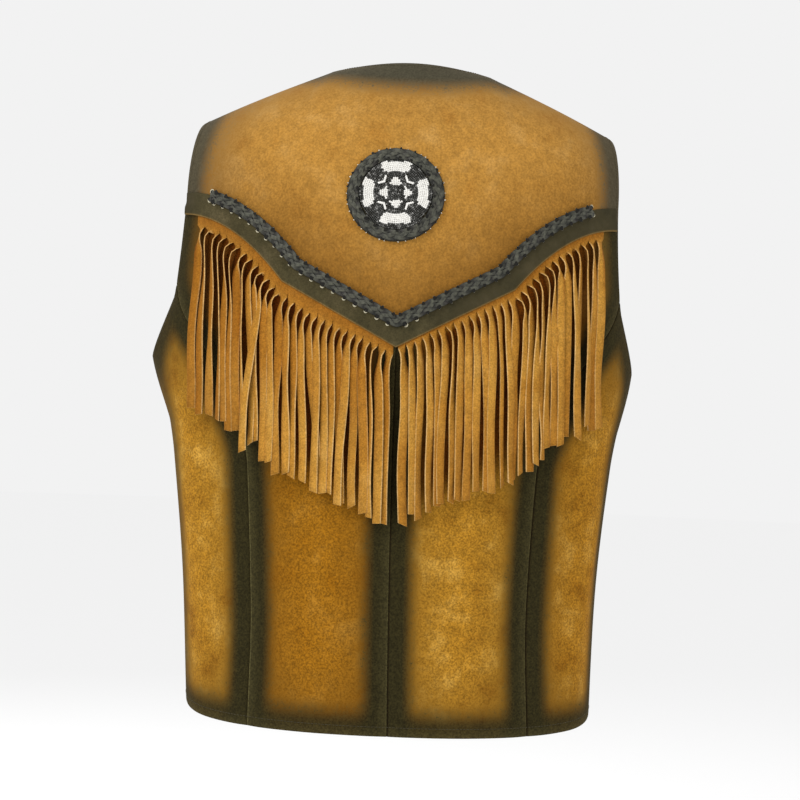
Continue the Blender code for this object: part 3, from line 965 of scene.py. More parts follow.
def sweep(line: Array, up: Array, half_width: Numbers, half_thick: Numbers, sides: int) -> Surface:
    """Sweeps a rounded flat section along a line.

    Args:
        line: Points of the line.
        up: Direction of the section's thickness, at each point or for all.
        half_width: Half of its width, at each point or for all.
        half_thick: Half of its thickness, at each point or for all.
        sides: Points round the section.

    Returns:
        Points and faces.
    """
    squareness = 0.7
    count = len(line)
    along = unit(np.gradient(line, axis=0))
    across = unit(np.cross(up, along))
    up = np.cross(along, across)
    angle = TAU * (np.arange(sides) + 0.5) / sides
    wide = np.sign(np.cos(angle)) * np.abs(np.cos(angle)) ** squareness
    high = np.sign(np.sin(angle)) * np.abs(np.sin(angle)) ** squareness
    half_width = np.broadcast_to(half_width, count)[:, None]
    half_thick = np.broadcast_to(half_thick, count)[:, None]
    points = line[:, None] + across[:, None] * (half_width * wide)[..., None]
    points = points + up[:, None] * (half_thick * high)[..., None]
    faces = []
    for start in range(0, (count - 1) * sides, sides):
        for k in range(sides):
            n = (k + 1) % sides
            faces.append((start + k, start + n, start + sides + n, start + sides + k))
    faces.append(tuple(reversed(range(sides))))
    faces.append(tuple(range((count - 1) * sides, count * sides)))
    return points.reshape(-1, 3), faces


def flat_sweep(xyz: Sequence[Numbers], half_width: Numbers, half_thick: Numbers, sides: int) -> Surface:
    """Sweeps a small part that lies flat, from the x, y and z of its line."""
    line = np.stack(np.broadcast_arrays(*xyz), axis=1)
    return sweep(line, UP, half_width, half_thick, sides)


def fan(rim: Array, middle: Array) -> Surface:
    """Fills a ring of points from a middle point."""
    count = len(rim)
    return np.concatenate([rim, [middle]]), [(k, (k + 1) % count, count) for k in range(count)]


def join(parts: Sequence[Surface]) -> Surface:
    """Joins surfaces into one list of points and faces.

    Args:
        parts: The surfaces.

    Returns:
        Points and faces.
    """
    faces = []
    start = 0
    for points, own in parts:
        faces += [tuple(i + start for i in face) for face in own]
        start += len(points)
    return np.concatenate([points for points, _ in parts]), faces


def parts_group() -> Tree:
    """Builds the shared tree that sets copies of one small part at marked points.

    Returns:
        The tree, with named inputs.
    """
    tree = bpy.data.node_groups.new("row_of_parts", "GeometryNodeTree")
    sockets = {
        "Points": "NodeSocketGeometry",
        "Part": "NodeSocketObject",
        "Finish": "NodeSocketMaterial",
        "Size Spread": "NodeSocketFloat",
        "Turn Spread": "NodeSocketFloat",
        "Seed": "NodeSocketInt",
    }
    for label, kind in sockets.items():
        tree.interface.new_socket(label, in_out="INPUT", socket_type=kind)
    tree.interface.new_socket("Parts", in_out="OUTPUT", socket_type="NodeSocketGeometry")
    graph = Graph(tree)
    given = graph.add("NodeGroupInput").outputs

    def read(name: str, kind: str) -> Socket:
        """Reads a value that the points carry."""
        node = graph.add("GeometryNodeInputNamedAttribute", {"Name": name}, data_type=kind)
        return node.outputs["Attribute"]

    def draw(low: Socket, high: Socket) -> Socket:
        """Draws a value for each part."""
        inputs = {2: low, 3: high, "Seed": given["Seed"]}
        return graph.add("FunctionNodeRandomValue", inputs, data_type="FLOAT").outputs[1]

    part = graph.add("GeometryNodeObjectInfo", {"Object": given["Part"]}).outputs["Geometry"]
    axes = {0: read("off", "FLOAT_VECTOR"), 1: read("along", "FLOAT_VECTOR")}
    aim = graph.add("FunctionNodeAxesToRotation", axes, primary_axis="Z", secondary_axis="X").outputs[0]
    turn = draw(graph.times(given["Turn Spread"], -1.0), given["Turn Spread"])
    small = graph.add("FunctionNodeAxisAngleToRotation", {"Axis": tuple(UP), "Angle": turn}).outputs[0]
    turned = graph.add("FunctionNodeRotateRotation", {0: aim, 1: small}, rotation_space="LOCAL").outputs[0]
    least = graph.math("SUBTRACT", 1.0, given["Size Spread"])
    most = graph.math("ADD", 1.0, given["Size Spread"])
    scale = graph.times(read("size", "FLOAT"), draw(least, most))
    copies = {"Points": given["Points"], "Instance": part, "Rotation": turned, "Scale": scale}
    placed = graph.add("GeometryNodeInstanceOnPoints", copies).outputs[0]
    real = graph.add("GeometryNodeRealizeInstances", {"Geometry": placed}).outputs[0]
    coat = {"Geometry": real, "Material": given["Finish"]}
    graph.add("NodeGroupOutput", {"Parts": graph.add("GeometryNodeSetMaterial", coat).outputs[0]})
    return tree


@dataclass
class Bench:
    """What every piece shares: the form, the yoke line, the finishes and where pieces are put."""

    fine_cell: float = 0.0042
    quick_cell: float = 0.009

    def __post_init__(self) -> None:
        """Builds the form, the finishes and the shared node trees."""
        self.form = BodyForm()
        self.line = YokeLine(self.form)
        self.cell = self.fine_cell
        self.looks = bpy.data.collections.new("vest_looks")
        bpy.context.scene.collection.children.link(self.looks)
        self.parts = parts_group()
        nap = nap_group()
        self.finishes = {finish: finish.build(nap) for finish in FINISHES}

    def put(self, name: str, mesh: Mesh, finish: Finish) -> Piece:
        """Puts a mesh in the scene.

        Args:
            name: Name of its object.
            mesh: The mesh.
            finish: Its finish.

        Returns:
            The object.
        """
        mesh.materials.clear()
        mesh.materials.append(self.finishes[finish])
        piece = bpy.data.objects.new(name, mesh)
        self.looks.objects.link(piece)
        return piece

    def enter(
        self, name: str, mesh: Mesh, finish: Finish, *nodes: str, slot: Finish | None = None
    ) -> Piece:
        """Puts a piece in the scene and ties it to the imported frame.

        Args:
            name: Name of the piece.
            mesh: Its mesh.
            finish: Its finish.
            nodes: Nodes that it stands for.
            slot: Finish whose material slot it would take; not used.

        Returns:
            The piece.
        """
        piece = self.put(name, mesh, finish)
        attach(piece, "root")
        if nodes:
            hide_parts(*nodes)
        return piece


@dataclass
class RowOfParts:
    """Sets copies of one small part, X along the row and Z off the cloth, through Geometry Nodes."""

    bench: Bench
    name: str
    part: Mesh
    finish: Finish
    seed: int
    size_spread: float = 0.05
    turn_spread: float = 0.05

    def mesh(self, points: Array, along: Array, off: Array, fields: Values | None = None) -> Mesh:
        """Sets the parts and turns them into one mesh.

        Args:
            points: Where the parts go.
            along: Direction of each part's X.
            off: Direction of each part's Z.
            fields: More values that each part carries.

        Returns:
            The mesh.
        """
        held = {"along": along, "off": off, "size": np.ones(len(points)), **(fields or {})}
        row_name = self.name + "_points"
        row = self.bench.put(row_name, mesh_of(row_name, (points, []), held), self.finish)
        part = self.bench.put(self.name + "_part", self.part, self.finish)
        tree = self.bench.parts
        modifier = row.modifiers.new("row", "NODES")
        modifier.node_group = tree
        values = {
            "Part": part,
            "Finish": self.bench.finishes[self.finish],
            "Size Spread": self.size_spread,
            "Turn Spread": self.turn_spread,
            "Seed": self.seed,
        }
        for item in tree.interface.items_tree:
            if item.in_out == "INPUT" and item.name in values:
                modifier[item.identifier] = values[item.name]
        graph = bpy.context.evaluated_depsgraph_get()
        graph.update()
        mesh = bpy.data.meshes.new_from_object(row.evaluated_get(graph))
        mesh.name = self.name
        row.modifiers.clear()
        bpy.data.objects.remove(row)
        bpy.data.objects.remove(part)
        mesh.shade_smooth()
        return mesh


class Edge(Enum):
    """Kinds of edge that a panel can have."""

    HEM = "hem"
    NECK = "neck"
    ARMHOLE = "armhole"
    FAR_ARMHOLE = "armhole away from the light"
    LOW_ARMHOLE = "low armhole"
    LIT_LAP = "upper side of a seam, to the light"
    LAP = "upper side of a seam"
    LIT_SEAM = "lower side of a seam, to the light"
    SEAM = "lower side of a seam"
    SIDE = "side"
    DARK_SIDE = "dark side"
    SHOULDER = "shoulder"
    OPENING = "opening"
    BAND = "under the band"
    BAND_END = "under the ends of the band"


@dataclass(frozen=True)
class EdgeStyle:
    """How an edge is brushed dark, rolled, turned in, paled at the lip with a painted highlight, rubbed pale,
    painted with its neighbour's lap shadow, and warmed.
    """

    core: float
    fade: float
    strength: float
    roll: float
    reach: float
    turned: float = 0.0
    worn: float = 0.0
    rubbed: float = 0.0
    lap_shadow: float = 0.0
    haze: float = 0.0
    haze_reach: float = 0.08
    warmth: float = 0.0
    warm_reach: float = 0.105


TURNED = EdgeStyle(0.016, 0.043, 0.95, roll=0.0006, reach=0.0030, turned=0.0012)
SEWN = EdgeStyle(0.013, 0.032, 1.0, roll=0.0005, reach=0.0028, haze=0.34, haze_reach=0.07)
SUNK = replace(SEWN, roll=0.0012)
COVERED = EdgeStyle(0.001, 0.002, 0.0, roll=0.0, reach=0.0010)
EDGE_STYLES: dict[Edge, EdgeStyle] = {
    Edge.HEM: replace(TURNED, core=0.010, fade=0.036, rubbed=0.30, haze=0.26, haze_reach=0.085),
    Edge.NECK: replace(TURNED, core=0.026, fade=0.064, strength=1.0, haze=0.18, haze_reach=0.125),
    Edge.ARMHOLE: replace(TURNED, haze=0.44, haze_reach=0.095),
    Edge.FAR_ARMHOLE: replace(TURNED, haze=0.18),
    Edge.LOW_ARMHOLE: replace(TURNED, core=0.012, fade=0.048, strength=1.0, haze=0.34, haze_reach=0.12),
    # Laps get a pale lip, partly their own colour and partly a painted highlight, brightest toward the light.
    Edge.LIT_LAP: replace(SEWN, worn=1.0, rubbed=0.30),
    Edge.LAP: replace(SEWN, worn=0.55, rubbed=0.28),
    # The lower sides of seams get a painted shadow line from the lap, weak toward the light.
    Edge.LIT_SEAM: replace(SUNK, lap_shadow=0.10),
    Edge.SEAM: replace(SUNK, lap_shadow=0.75),
    Edge.SIDE: EdgeStyle(0.027, 0.060, 0.74, roll=0.0007, reach=0.0028),
    Edge.DARK_SIDE: EdgeStyle(0.028, 0.053, 0.95, roll=0.0007, reach=0.0028),
    Edge.SHOULDER: EdgeStyle(0.002, 0.013, 0.80, roll=0.0006, reach=0.0028, haze=0.36, haze_reach=0.12),
    Edge.OPENING: replace(TURNED, core=0.008, fade=0.034, strength=1.0, haze=0.2, haze_reach=0.06),
    Edge.BAND: replace(COVERED, warmth=1.10),
    Edge.BAND_END: replace(COVERED, warmth=0.65),
}


@dataclass(frozen=True)
class FringeShadow:
    """The shadow on the panels behind the hanging fringe."""

    length_inner: float = 0.168
    length_outer: float = 0.178
    reach: float = 0.1975
    end: float = 0.190
    end_fade: float = 0.010
    top: float = 0.004
    top_fade: float = 0.006
    tip_rise: float = 0.030
    tip_fade: float = 0.035

    def on(self, x: Array, below: Array) -> Array:
        """How far points lie in the shadow.

        Args:
            x: Their distances across the back.
            below: Their distances below the yoke line.

        Returns:
            Shares from 0 to 1.
        """
        a = np.abs(x)
        length = lerp(self.length_inner, self.length_outer, a / self.reach)
        shadow = falling(a, self.end, self.end_fade) * rising(below, self.top, self.top_fade)
        return shadow * falling(below - length, -self.tip_rise, self.tip_fade)


def stops(length: float, cell: float) -> Array:
    """Shares of a length that are close together near both ends.

    Args:
        length: The length.
        cell: Step between the ends.

    Returns:
        Shares from 0 to 1.
    """
    near = np.array([0.0, 0.0006, 0.0013, 0.0022, 0.0035]) / length
    count = max(3, round(length / cell))
    return np.concatenate([near[:-1], np.linspace(near[-1], 1.0 - near[-1], count), 1.0 - near[-2::-1]])


def rims(grid: Array) -> tuple[Array, Array, Array, Array]:
    """Marks a grid's first row, last row, first column and last column."""
    row, column = np.indices(grid.shape)
    return row == 0, row == row.max(), column == 0, column == column.max()


def away_from(points: Array, line: Array) -> Array:
    """Distances of a grid of points from the nearest point of a line.

    Args:
        points: The grid.
        line: Points of the line.

    Returns:
        Distances over the grid.
    """
    flat = points.reshape(-1, 3)
    square = np.sum(flat**2, axis=1)[:, None] + np.sum(line**2, axis=1) - 2.0 * flat @ line.T
    return np.sqrt(np.maximum(np.min(square, axis=1), 0.0)).reshape(points.shape[:2])


@dataclass(frozen=True)
class PanelCut:
    """Name, finish, warmth of colour, support and side of a panel."""

    name: str
    finish: Finish
    tone: float
    rests_on: tuple[str, ...]
    side: Side | None = None


@dataclass
class Panel:
    """A panel of suede on the body form.

    The number of its points comes from about how far it goes across and up.
    """

    bench: Bench
    cut: PanelCut
    flat: tuple[float, float]
    area: float
    across: float
    up: float
    face: Face = Face.BACK
    lip: float = 0.0006
    lip_fade: float = 0.0014
    hem_width: float = 0.008
    hem_fade: float = 0.003
    rub_reach: float = 0.012
    inside_shade: float = 0.6
    sprayed_shadow: float = 0.75
    bulge: float = 0.0003
    shadow: FringeShadow = FringeShadow()

    def grid(self) -> Pair:
        """The s and t of the panel's points on the form, by rows from the bottom."""
        raise NotImplementedError

    def edges(self, s: Array, t: Array) -> list[tuple[Edge, Array]]:
        """Kinds of edge, each with a mask over the grid of the panel's points."""
        raise NotImplementedError

    def stops(self, length: float) -> Array:
        """Shares of a length on the panel, close together near both ends."""
        return stops(length, self.bench.cell)

    def under_fringe(self, points: Array) -> Array:
        """How far points lie in the shadow of the fringe, which hangs on the back only."""
        x = points[..., 0]
        return self.shadow.on(x, self.bench.line.height(x) - points[..., 2]) * (self.face is Face.BACK)

    def build(self) -> Piece:
        """Builds the panel.

        Returns:
            The finished piece.
        """
        form = self.bench.form
        s, t = self.grid()
        flat = form.on(s, t, 0.0, self.face)
        clear = np.ones_like(s)
        none = np.zeros_like(s)
        roll = none
        turned = none
        worn = none
        lap_shadow = none
        tone = np.full_like(s, self.cut.tone)
        for edge, mask in self.edges(s, t):
            if not mask.any():
                continue
            style = EDGE_STYLES[edge]
            away = away_from(flat, flat[mask])
            at_lip = falling(away, self.lip, self.lip_fade)
            clear = clear * (1.0 - style.strength * falling(away, style.core, style.fade - style.core))
            clear = clear * (1.0 - style.haze * falling(away, 0.0, style.haze_reach))
            roll = roll + style.roll * np.maximum(1.0 - away / style.reach, 0.0) ** 2
            turned = np.maximum(turned, style.turned * falling(away, self.hem_width, self.hem_fade))
            # A pale lip on laps, partly the edge's own colour and partly a painted highlight, and paler
            # rubbed areas.
            worn = np.maximum(worn, style.worn * at_lip)
            worn = np.maximum(worn, style.rubbed * falling(away, 0.0, self.rub_reach))
            tone = np.maximum(tone, style.warmth * falling(away, 0.0, style.warm_reach))
            # A painted shadow line where the next panel laps over this edge.
            lap_shadow = np.maximum(lap_shadow, style.lap_shadow * at_lip)
        outer = form.on(s, t, -roll, self.face)
        inner = form.on(s, t, -roll - form.suede - turned, self.face)
        shade = 1.0 - clear
        # Painted shade: the laps' shadow lines and the fringe's shadow, weaker where the spray is already
        # dark.
        under = np.maximum(lap_shadow, self.under_fringe(flat) * (1.0 - self.sprayed_shadow * shade))
        fields = {
            "shade": (shade, shade * self.inside_shade, shade),
            "worn": (worn, none, worn),
            "tone": (tone, tone, tone),
            "inside": (none, none + 1.0, none),
            "hidden": (under, none, none),
        }
        cut = self.cut
        mesh = shell(cut.name, outer, inner, fields, bulge=self.bulge)
        return self.bench.enter(cut.name + "_look", mesh, cut.finish, cut.name)


@dataclass
class Yoke(Panel):
    """The pointed back yoke."""

    flat: tuple[float, float] = (0.445, 0.300)
    area: float = 0.1052
    across: float = 0.43
    up: float = 0.27
    widest: float = 0.9995
    highest: float = 1.9985
    band_end: float = 0.45

    def grid(self) -> Pair:
        """Places of the yoke's points.

        Returns:
            The s and t.
        """
        line = self.bench.line
        s = lerp(-self.widest, self.widest, self.stops(self.across))
        low = line.seam_t(lambda _t: s, line.seam_rise + self.bench.form.seam_gap / 2.0, len(s))
        t = lerp(low[None], self.highest, self.stops(self.up)[:, None])
        return np.broadcast_to(s, t.shape).copy(), t

    def edges(self, s: Array, t: Array) -> list[tuple[Edge, Array]]:
        """Edges of the yoke.

        Args:
            s: Places across.
            t: Places up.

        Returns:
            Kinds of edge and masks.
        """
        low, top, right, left = rims(s)
        in_neck = np.abs(s) * self.bench.form.shoulder_half < self.bench.form.neck_half
        in_middle = np.abs(s) < self.band_end
        return [
            (Edge.NECK, top & in_neck),
            (Edge.SHOULDER, top & ~in_neck),
            (Edge.ARMHOLE, left),
            (Edge.FAR_ARMHOLE, right),
            (Edge.BAND, low & in_middle),
            (Edge.BAND_END, low & ~in_middle),
        ]


@dataclass
class CentrePanel(Panel):
    """A centre-back panel, from the hem up to the V seam."""

    flat: tuple[float, float] = (0.26, 0.49)
    area: float = 0.0736
    across: float = 0.17
    up: float = 0.42
    side_arc: float = 0.1 * math.pi
    seam_end: float = 0.985

    def grid(self) -> Pair:
        """Places of the panel's points.

        Returns:
            The s and t.
        """
        form = self.bench.form
        line = self.bench.line
        half_gap = form.seam_gap / 2.0
        u = self.stops(self.across)

        def columns(t: Array) -> Array:
            """Places across of the panel's columns."""
            outer = form.inset(form.seam(t), t, half_gap, Face.BACK)
            return self.cut.side.value * lerp(half_gap / self.side_arc, outer, u)

        top = line.seam_t(columns, line.seam_rise - half_gap, len(u))
        t = self.stops(self.up)[:, None] * top[None]
        return columns(t), t

    def edges(self, s: Array, t: Array) -> list[tuple[Edge, Array]]:
        """Edges of the panel.

        Args:
            s: Places across.
            t: Places up.

        Returns:
            Kinds of edge and masks.
        """
        hem, _, middle, outer = rims(s)
        is_left = self.cut.side is Side.LEFT
        at_seam = self.bench.form.seam(t) < self.seam_end
        return [
            (Edge.HEM, hem),
            (Edge.LAP if is_left else Edge.SEAM, middle),
            (Edge.LIT_LAP if is_left else Edge.LAP, outer & at_seam),
            (Edge.LOW_ARMHOLE, outer & ~at_seam),
        ]


class SidedPanel(Panel):
    """A panel that ends at the side seam and the armhole."""

    def outer_edges(self, outer: Array, t: Array) -> list[tuple[Edge, Array]]:
        """The side seam, up to the underarm, and the armhole over it.

        Args:
            outer: Mask of the outer edge.
            t: Places up.

        Returns:
            Kinds of edge and masks.
        """
        below = t * self.bench.form.top < self.bench.form.underarm
        side = Edge.SIDE if self.cut.side is Side.LEFT else Edge.DARK_SIDE
        return [(side, outer & below), (Edge.ARMHOLE, outer & ~below)]

    def between(self, inner: Array, t: Array) -> Pair:
        """Fills the panel from its inner edge to the side.

        Args:
            inner: Places across of the inner edge.
            t: Places up of its rows.

        Returns:
            The s and t of the grid.
        """
        outer = self.bench.form.inset(np.ones_like(t), t, self.bench.form.seam_gap / 2.0, self.face)
        s = self.cut.side.value * lerp(inner[:, None], outer[:, None], self.stops(self.across))
        return s, np.broadcast_to(t[:, None], s.shape).copy()


@dataclass
class SidePanel(SidedPanel):
    """A side-back panel, which runs out to a point at the armhole."""

    flat: tuple[float, float] = (0.155, 0.42)
    area: float = 0.0496
    across: float = 0.14
    up: float = 0.41
    lowest_tip: float = 0.5
    highest_tip: float = 0.84
    side_arc: float = 0.33
    tip_width: float = 0.0035

    def grid(self) -> Pair:
        """Places of the panel's points.

        Returns:
            The s and t.
        """
        form = self.bench.form
        low = np.array([self.lowest_tip])
        high = np.array([self.highest_tip])
        tip = halve(low, high, lambda t: (1.0 - form.seam(t)) * self.side_arc < self.tip_width)
        t = self.stops(self.up) * tip[0]
        return self.between(form.inset(form.seam(t), t, -form.seam_gap / 2.0, Face.BACK), t)

    def edges(self, s: Array, t: Array) -> list[tuple[Edge, Array]]:
        """Edges of the panel.

        Args:
            s: Places across.
            t: Places up.

        Returns:
            Kinds of edge and masks.
        """
        hem, _, middle, outer = rims(s)
        seam = Edge.LIT_SEAM if self.cut.side is Side.LEFT else Edge.SEAM
        return [(Edge.HEM, hem), (seam, middle), *self.outer_edges(outer, t)]


@dataclass
class Front(SidedPanel):
    """A plain front, from the hem to the shoulder seam."""

    face: Face = Face.FRONT
    flat: tuple[float, float] = (0.33, 0.66)
    area: float = 0.151
    across: float = 0.30
    up: float = 0.50
    over_shoulder: float = 0.18
    highest: float = 0.9985

    def grid(self) -> Pair:
        """Places of the front's points.

        Returns:
            The s and t.
        """
        shoulder = 1.0 + self.highest * self.stops(self.over_shoulder)[1:]
        t = np.concatenate([self.stops(self.up), shoulder])
        return self.between(self.bench.form.opening(t), t)

    def edges(self, s: Array, t: Array) -> list[tuple[Edge, Array]]:
        """Kinds of edge and masks of the front."""
        hem, top, inner, outer = rims(s)
        return [(Edge.HEM, hem), (Edge.OPENING, inner), (Edge.SHOULDER, top), *self.outer_edges(outer, t)]


@dataclass
class Band:
    """The dark band along the yoke line, over the top of the fringe."""

    bench: Bench
    flat: tuple[float, float] = (0.52, 0.022)
    reach: float = 0.2105
    span: float = 0.42
    width: float = 0.022
    thick: float = 0.0012
    ease_from: float = 0.006
    ease_to: float = 0.013
    over_strip: float = 0.0020
    cell_along: float = 0.0022
    cell_up: float = 0.0018
    edge_dip: float = 0.0004
    edge_reach: float = 0.0015
    pale_and_lit_share: float = 0.62
    pale_edge_width: float = 0.0006
    pale_edge_fade: float = 0.0009
    end_shade: float = 0.5
    end_fade: float = 0.02
    far_shade: float = 0.35
    far_from: float = 0.01
    far_fade: float = 0.05

    def floor(self, rise: Array) -> Array:
        """Height of the band's underside off the cloth, from the distance above the yoke line."""
        share = rising(rise, self.ease_from, self.ease_to - self.ease_from)
        return lerp(self.over_strip, self.bench.form.layer_gap, share)

    def build(self) -> Piece:
        """Builds the band.

        Returns:
            The finished piece.
        """
        line = self.bench.line
        x = lerp(-self.reach, self.reach, stops(self.span, self.cell_along))
        xs, rises = np.meshgrid(x, self.width * stops(self.width, self.cell_up))
        low = self.floor(rises)
        edge = np.minimum(rises, self.width - rises)
        dip = self.edge_dip * np.maximum(1.0 - edge / self.edge_reach, 0.0) ** 2
        outer = line.on(xs, rises, low + self.thick - dip)
        inner = line.on(xs, rises, low)
        none = np.zeros_like(xs)
        # The lower edge is pale: the cut edge's own colour with a painted highlight.
        worn = self.pale_and_lit_share * falling(rises, self.pale_edge_width, self.pale_edge_fade)
        at_end = self.end_shade * falling(self.reach - np.abs(xs), 0.0, self.end_fade)
        shade = np.maximum(at_end, self.far_shade * rising(-xs, self.far_from, self.far_fade))
        fields = {
            "shade": (shade, none, shade),
            "worn": (worn, none, worn),
            "inside": (none, none + 1.0, none),
        }
        mesh = shell("yoke_band", outer, inner, fields)
        return self.bench.enter("yoke_band_look", mesh, DARK_SUEDE, "yoke_band")


@dataclass(frozen=True)
class Plait:
    """A flat plait of four thongs, painted lighter where a thong passes over and with painted shade at its
    sides.
    """

    sway: float
    half_width: float
    half_thick: float = 0.00055
    weave: float = 0.0007
    pitch: float = 0.012
    thongs: int = 4
    sides: int = 10
    steps: int = 8
    light: float = 0.30
    light_swing: float = 0.60
    lightest: float = 0.9
    crevice_shade: float = 0.72

    def mesh(self, name: str, links: int, on: Callable[[Array, Array, Array], Pair]) -> Mesh:
        """Weaves the thongs along a line.

        Args:
            name: Name of the mesh.
            links: Length of the plait, in steps between its holes.
            on: Points and directions off the cloth, from places along the line, to its side and off it.

        Returns:
            The mesh.
        """
        along = np.linspace(0.0, links * self.pitch, links * self.steps + 1)
        woven = []
        light = []
        for thong in range(self.thongs):
            turn = TAU * (along / (self.thongs * self.pitch) + thong / self.thongs)
            over = -np.cos(3.0 * turn)
            line, up = on(along, self.sway * np.sin(turn), self.weave * over)
            woven.append(sweep(line, up, self.half_width, self.half_thick, self.sides))
            # Painted light: a thong is lighter where it passes over the others.
            lit = np.clip(self.light + self.light_swing * over, 0.0, self.lightest)
            light.append(np.repeat(lit, self.sides))
        points, faces = join(woven)
        # Painted shade toward each thong's sides, where it tucks under its neighbours.
        wide = np.abs(np.cos(TAU * (np.arange(self.sides) + 0.5) / self.sides))
        hidden = np.tile(rising(wide, self.crevice_shade, 1.0 - self.crevice_shade), len(points) // self.sides)
        return mesh_of(name, (points, faces), {"light": np.concatenate(light), "hidden": hidden})


@dataclass(frozen=True)
class LacingHole:
    """A punched hole: a dark disc of painted shade, with the pale flesh of the leather on its edge away from
    the plait, lit as a painted highlight.

    The pale crescent has a half-width, and spreads over some degrees of the edge.
    """

    radius: float
    crescent: float = 0.00003
    spread: float = 60.0
    corners: int = 12
    uneven: float = 0.20
    edge_lift: float = 0.00004
    lift: float = 0.0001
    taper: float = 0.25
    size_spread: float = 0.25
    turn_spread: float = 0.5

    def mesh(self) -> Mesh:
        """Builds one hole.

        Returns:
            The mesh.
        """
        angle = TAU * np.arange(self.corners) / self.corners
        reach = self.radius * (1.0 + self.uneven * np.cos(3.0 * angle + np.pi / 2.0))
        rim = [reach * np.cos(angle), reach * np.sin(angle), np.full(self.corners, self.edge_lift)]
        disc = fan(np.stack(rim, axis=1), self.lift * UP)
        share = np.linspace(0.0, 1.0, 11)
        arc = np.radians(90.0 + self.spread * (share - 0.5))
        width = self.crescent * np.sin(lerp(self.taper, np.pi - self.taper, share))
        line = (self.radius * np.cos(arc), self.radius * np.sin(arc), self.lift)
        edge = flat_sweep(line, width, width * 0.6, 6)
        pale = np.concatenate([np.zeros(len(disc[0])), np.ones(len(edge[0]))])
        return mesh_of("lacing_hole", join([disc, edge]), {"pale": pale})

    def row(self, bench: Bench, name: str, seed: int, placed: Pair, along: Array, slot: Finish) -> Piece:
        """Sets a named row of holes at points with directions off the cloth and along the row."""
        maker = RowOfParts(bench, name, self.mesh(), LACING_HOLE, seed, self.size_spread, self.turn_spread)
        return bench.enter(name, maker.mesh(placed[0], along, placed[1]), LACING_HOLE, slot=slot)


@dataclass
class Lacing:
    """A flat plait of thong along the top of the band, with a row of holes on each side."""

    bench: Bench
    band: Band
    rise: float = 0.0215
    reach: float = 0.1870
    lift: float = 0.0033
    hole_lift: float = 0.0015
    hole_aside: float = 0.0047
    hole: float = 0.0019
    mark: float = 0.0020
    mark_drop: float = 0.0008
    marked_from: float = -0.022
    end_aside: float = 0.8
    end_over: float = 0.0012
    clearance: float = 0.0001
    point_half: float = 0.006
    point_fade: float = 0.010
    seed: int = 5
    plait: Plait = Plait(sway=0.0036, half_width=0.0023)

    def __post_init__(self) -> None:
        """Lays out the plait's line, its V a little rounded, and centres the plait on it."""
        x = np.linspace(-self.reach, self.reach, 1537)
        sharp = self.bench.line.raised(x, self.rise)
        window = np.hanning(41)
        padded = np.pad(sharp, len(window) // 2, mode="edge")
        soft = np.convolve(padded, window / window.sum(), mode="valid")
        z = lerp(soft, sharp, rising(np.abs(x), self.point_half, self.point_fade))
        points, _ = self.bench.form.back(x, z, 0.0)
        run = run_of(points)
        self.links = int(run[-1] / self.plait.pitch)
        self.length = self.links * self.plait.pitch
        self.run = run - (run[-1] - self.length) / 2.0
        self.x = x
        self.z = z
        self.slope = np.arctan(np.gradient(z, x))

    def on(self, along: Array, aside: Numbers, lift: Numbers) -> Pair:
        """Points by the plait.

        Args:
            along: Distances along it.
            aside: Distances above its middle.
            lift: Heights off the cloth.

        Returns:
            Points and directions off the cloth.
        """
        slope = np.interp(along, self.run, self.slope)
        x = np.interp(along, self.run, self.x) - aside * np.sin(slope)
        z = np.interp(along, self.run, self.z) + aside * np.cos(slope)
        return self.bench.form.back(x, z, lift)

    def build(self) -> list[Piece]:
        """Builds the plait and its holes.

        Returns:
            The finished pieces.
        """
        bench = self.bench
        mesh = self.plait.mesh("yoke_lacing", self.links, lambda a, b, c: self.on(a, b, self.lift + c))
        pieces = [bench.enter("yoke_lacing_look", mesh, LACING_LEATHER, "yoke_lacing")]
        on_band = self.band.thick + bench.form.layer_gap + self.clearance
        on_plait = self.lift + self.hole_lift
        middles = (np.arange(self.links) + 0.5) * self.plait.pitch
        marked = middles[np.interp(middles, self.run, self.x) > self.marked_from]
        ends = np.array([-self.end_over, self.length + self.end_over])
        aside = self.hole_aside
        end = self.end_aside * aside
        hole = LacingHole(self.hole)
        # Name, hole, distance beside the plait's middle, height off the cloth and places along.
        rows = (
            ("lacing_holes_upper", hole, aside, on_plait, middles),
            ("lacing_holes_lower", hole, -aside, on_plait, middles),
            ("lacing_marks", LacingHole(self.mark, 0.00062, 125.0), -aside - self.mark_drop, on_band, marked),
            ("lacing_ends_upper", LacingHole(self.mark, 0.00040, 220.0), end, on_band, ends),
            ("lacing_ends_lower", LacingHole(self.mark, 0.00050, 220.0), -end, on_band, ends),
        )
        step = 0.0002
        for name, part, beside, lift, along in rows:
            placed = self.on(along, beside, lift)
            ahead, _ = self.on(along + step, beside, lift)
            ways = unit(placed[0] - ahead) * np.sign(beside)
            pieces.append(part.row(bench, name, self.seed, placed, ways, DARK_SUEDE))
        return pieces


@dataclass(frozen=True)
class FringeHalf:
    """What differs from one half of the fringe to the other, by how each was cut, hangs and is lit.

    The strip's marks are distances from the middle with its depths there, and the turn is in degrees.
    """

    name: str
    seed: int
    first: int
    strip: Marks
    longer: float
    turn: tuple[float, float]
    stay_turned: float
    top_tone: float
    tip_tone: float
    far_tone: float
    far_shade: float
    low_shade: float


